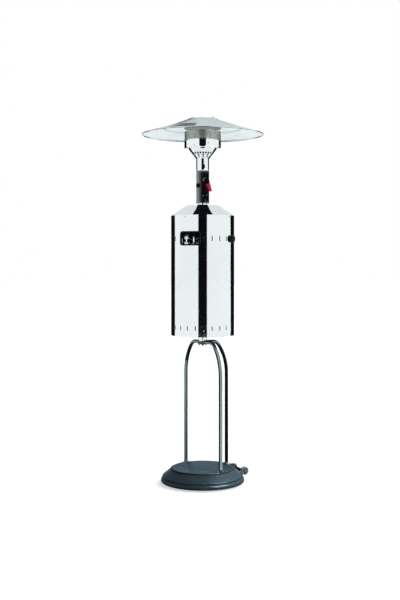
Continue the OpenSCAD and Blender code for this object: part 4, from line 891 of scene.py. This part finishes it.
def makeVentShadeRims():
    # dark rims round the funnel's vents: painted shade that makes the holes look wider and darker; each row
    # is (count, distance from the top, hole radius)
    look = {"neck": 38.5, "grow": 43.5 / 54, "height": 54, "below": 8, "azimuth": 3, "rim": 1.9,
            "clear": 0.02, "proud": 0.3, "rows": ((24, 22, 4.0), (12, 34, 3.4), (12, 44.5, 2.2))}
    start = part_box("burner_funnel")[0].z / mm + look["below"]
    bm = bmesh.new()

    def onFunnel(azimuth, z, reach, lift):
        ring = []
        for t in range(0, 360, 20):
            a = math.radians(t)
            high = z + reach * math.sin(a)
            r = look["neck"] + (high - start) * look["grow"] + lift
            ring.append(bm.verts.new(aroundAxis(r, azimuth + math.degrees(reach * math.cos(a) / r), high)))
        return ring

    for count, drop, hole in look["rows"]:
        wide = hole + look["rim"]
        section = ((hole, look["clear"]), (wide, look["clear"]), (wide, look["proud"]), (hole, look["proud"]))
        for k in range(count):
            azimuth, z = look["azimuth"] + 360 * k / count, start + look["height"] - drop
            rings = [onFunnel(azimuth, z, reach, lift) for reach, lift in section]
            for i in range(4):
                joinRings(bm, rings[i], rings[(i + 1) % 4])
    addPiece("vent_shade_rims", bm, "stand", materials["black_finish_and_painted_shade"], 50)


def makePlatformLine():
    # the dark line along the platform's split
    look = {"azimuth": -35, "across": 47.8, "half": 175, "width": 3.2, "z": 92.02, "thick": 0.25}
    place = Matrix.Rotation(math.radians(look["azimuth"] - 90), 4, "Z")
    bm = bmesh.new()
    left, right = look["across"] - look["width"] / 2, look["across"] + look["width"] / 2
    outline = ((left, -look["half"]), (right, -look["half"]), (right, look["half"]), (left, look["half"]))
    faces = [
        [bm.verts.new(place @ (Vector((x, y, z)) * mm)) for x, y in outline]
        for z in (look["z"], look["z"] + look["thick"])
    ]
    joinRings(bm, *faces)
    bm.faces.new(faces[0][::-1])
    bm.faces.new(faces[1])
    addPiece("platform_line", bm, "stand", materials["foot_rubber"])


def makeSlotShades():
    # dark strips inside the housing behind its slots: painted shade that makes the slots look darker; the
    # upper ones leave window and grip screw free
    look = {"inner": 187.1, "outer": 187.5, "tall": 22,
            "rows": ((934, 0, 360), (1459, 10, 58), (1459, 66, 120), (1459, 240, 302))}
    bm = bmesh.new()
    steps = 90
    for z, start, end in look["rows"]:
        for k in range(steps):
            a0, a1 = start + (end - start) * k / steps, start + (end - start) * (k + 1) / steps
            outline = patchOutline(a0, a1, z - look["tall"] / 2, z + look["tall"] / 2)
            curvedPlate(bm, outline, look["inner"], look["outer"])
    addPiece("slot_shades", bm, "housing", materials["foot_rubber"])


def makeShellSeam():
    # the lock seam up the back of the housing shell
    look = {"azimuth": 180, "width": 9, "low": 888, "high": 1582, "surface": 189.05, "proud": 0.8}
    bm = bmesh.new()
    half = math.degrees(look["width"] / 2 / look["surface"])
    steps = 4
    for k in range(steps):
        a0 = look["azimuth"] - half + 2 * half * k / steps
        a1 = look["azimuth"] - half + 2 * half * (k + 1) / steps
        curvedPlate(bm, patchOutline(a0, a1, look["low"], look["high"]),
                    look["surface"], look["surface"] + look["proud"])
    addPiece("shell_seam", bm, "housing", materials["polished_steel"])


makeEmitterScreen()
print("burner screen made")
makeDialMarks()
makeGripRibs()
print("marks and grip made")
makeWheelRings()
makeWelds()
makeInletThread()
makeScrewSocketShade()
makePlatformLine()
makePlatformShadeRing()
print("base and leg details made")
makeReflectorLines()
makeFunnelShade()
makeVentShadeRims()
makeSlotShades()
makeShellSeam()
print("pieces made")
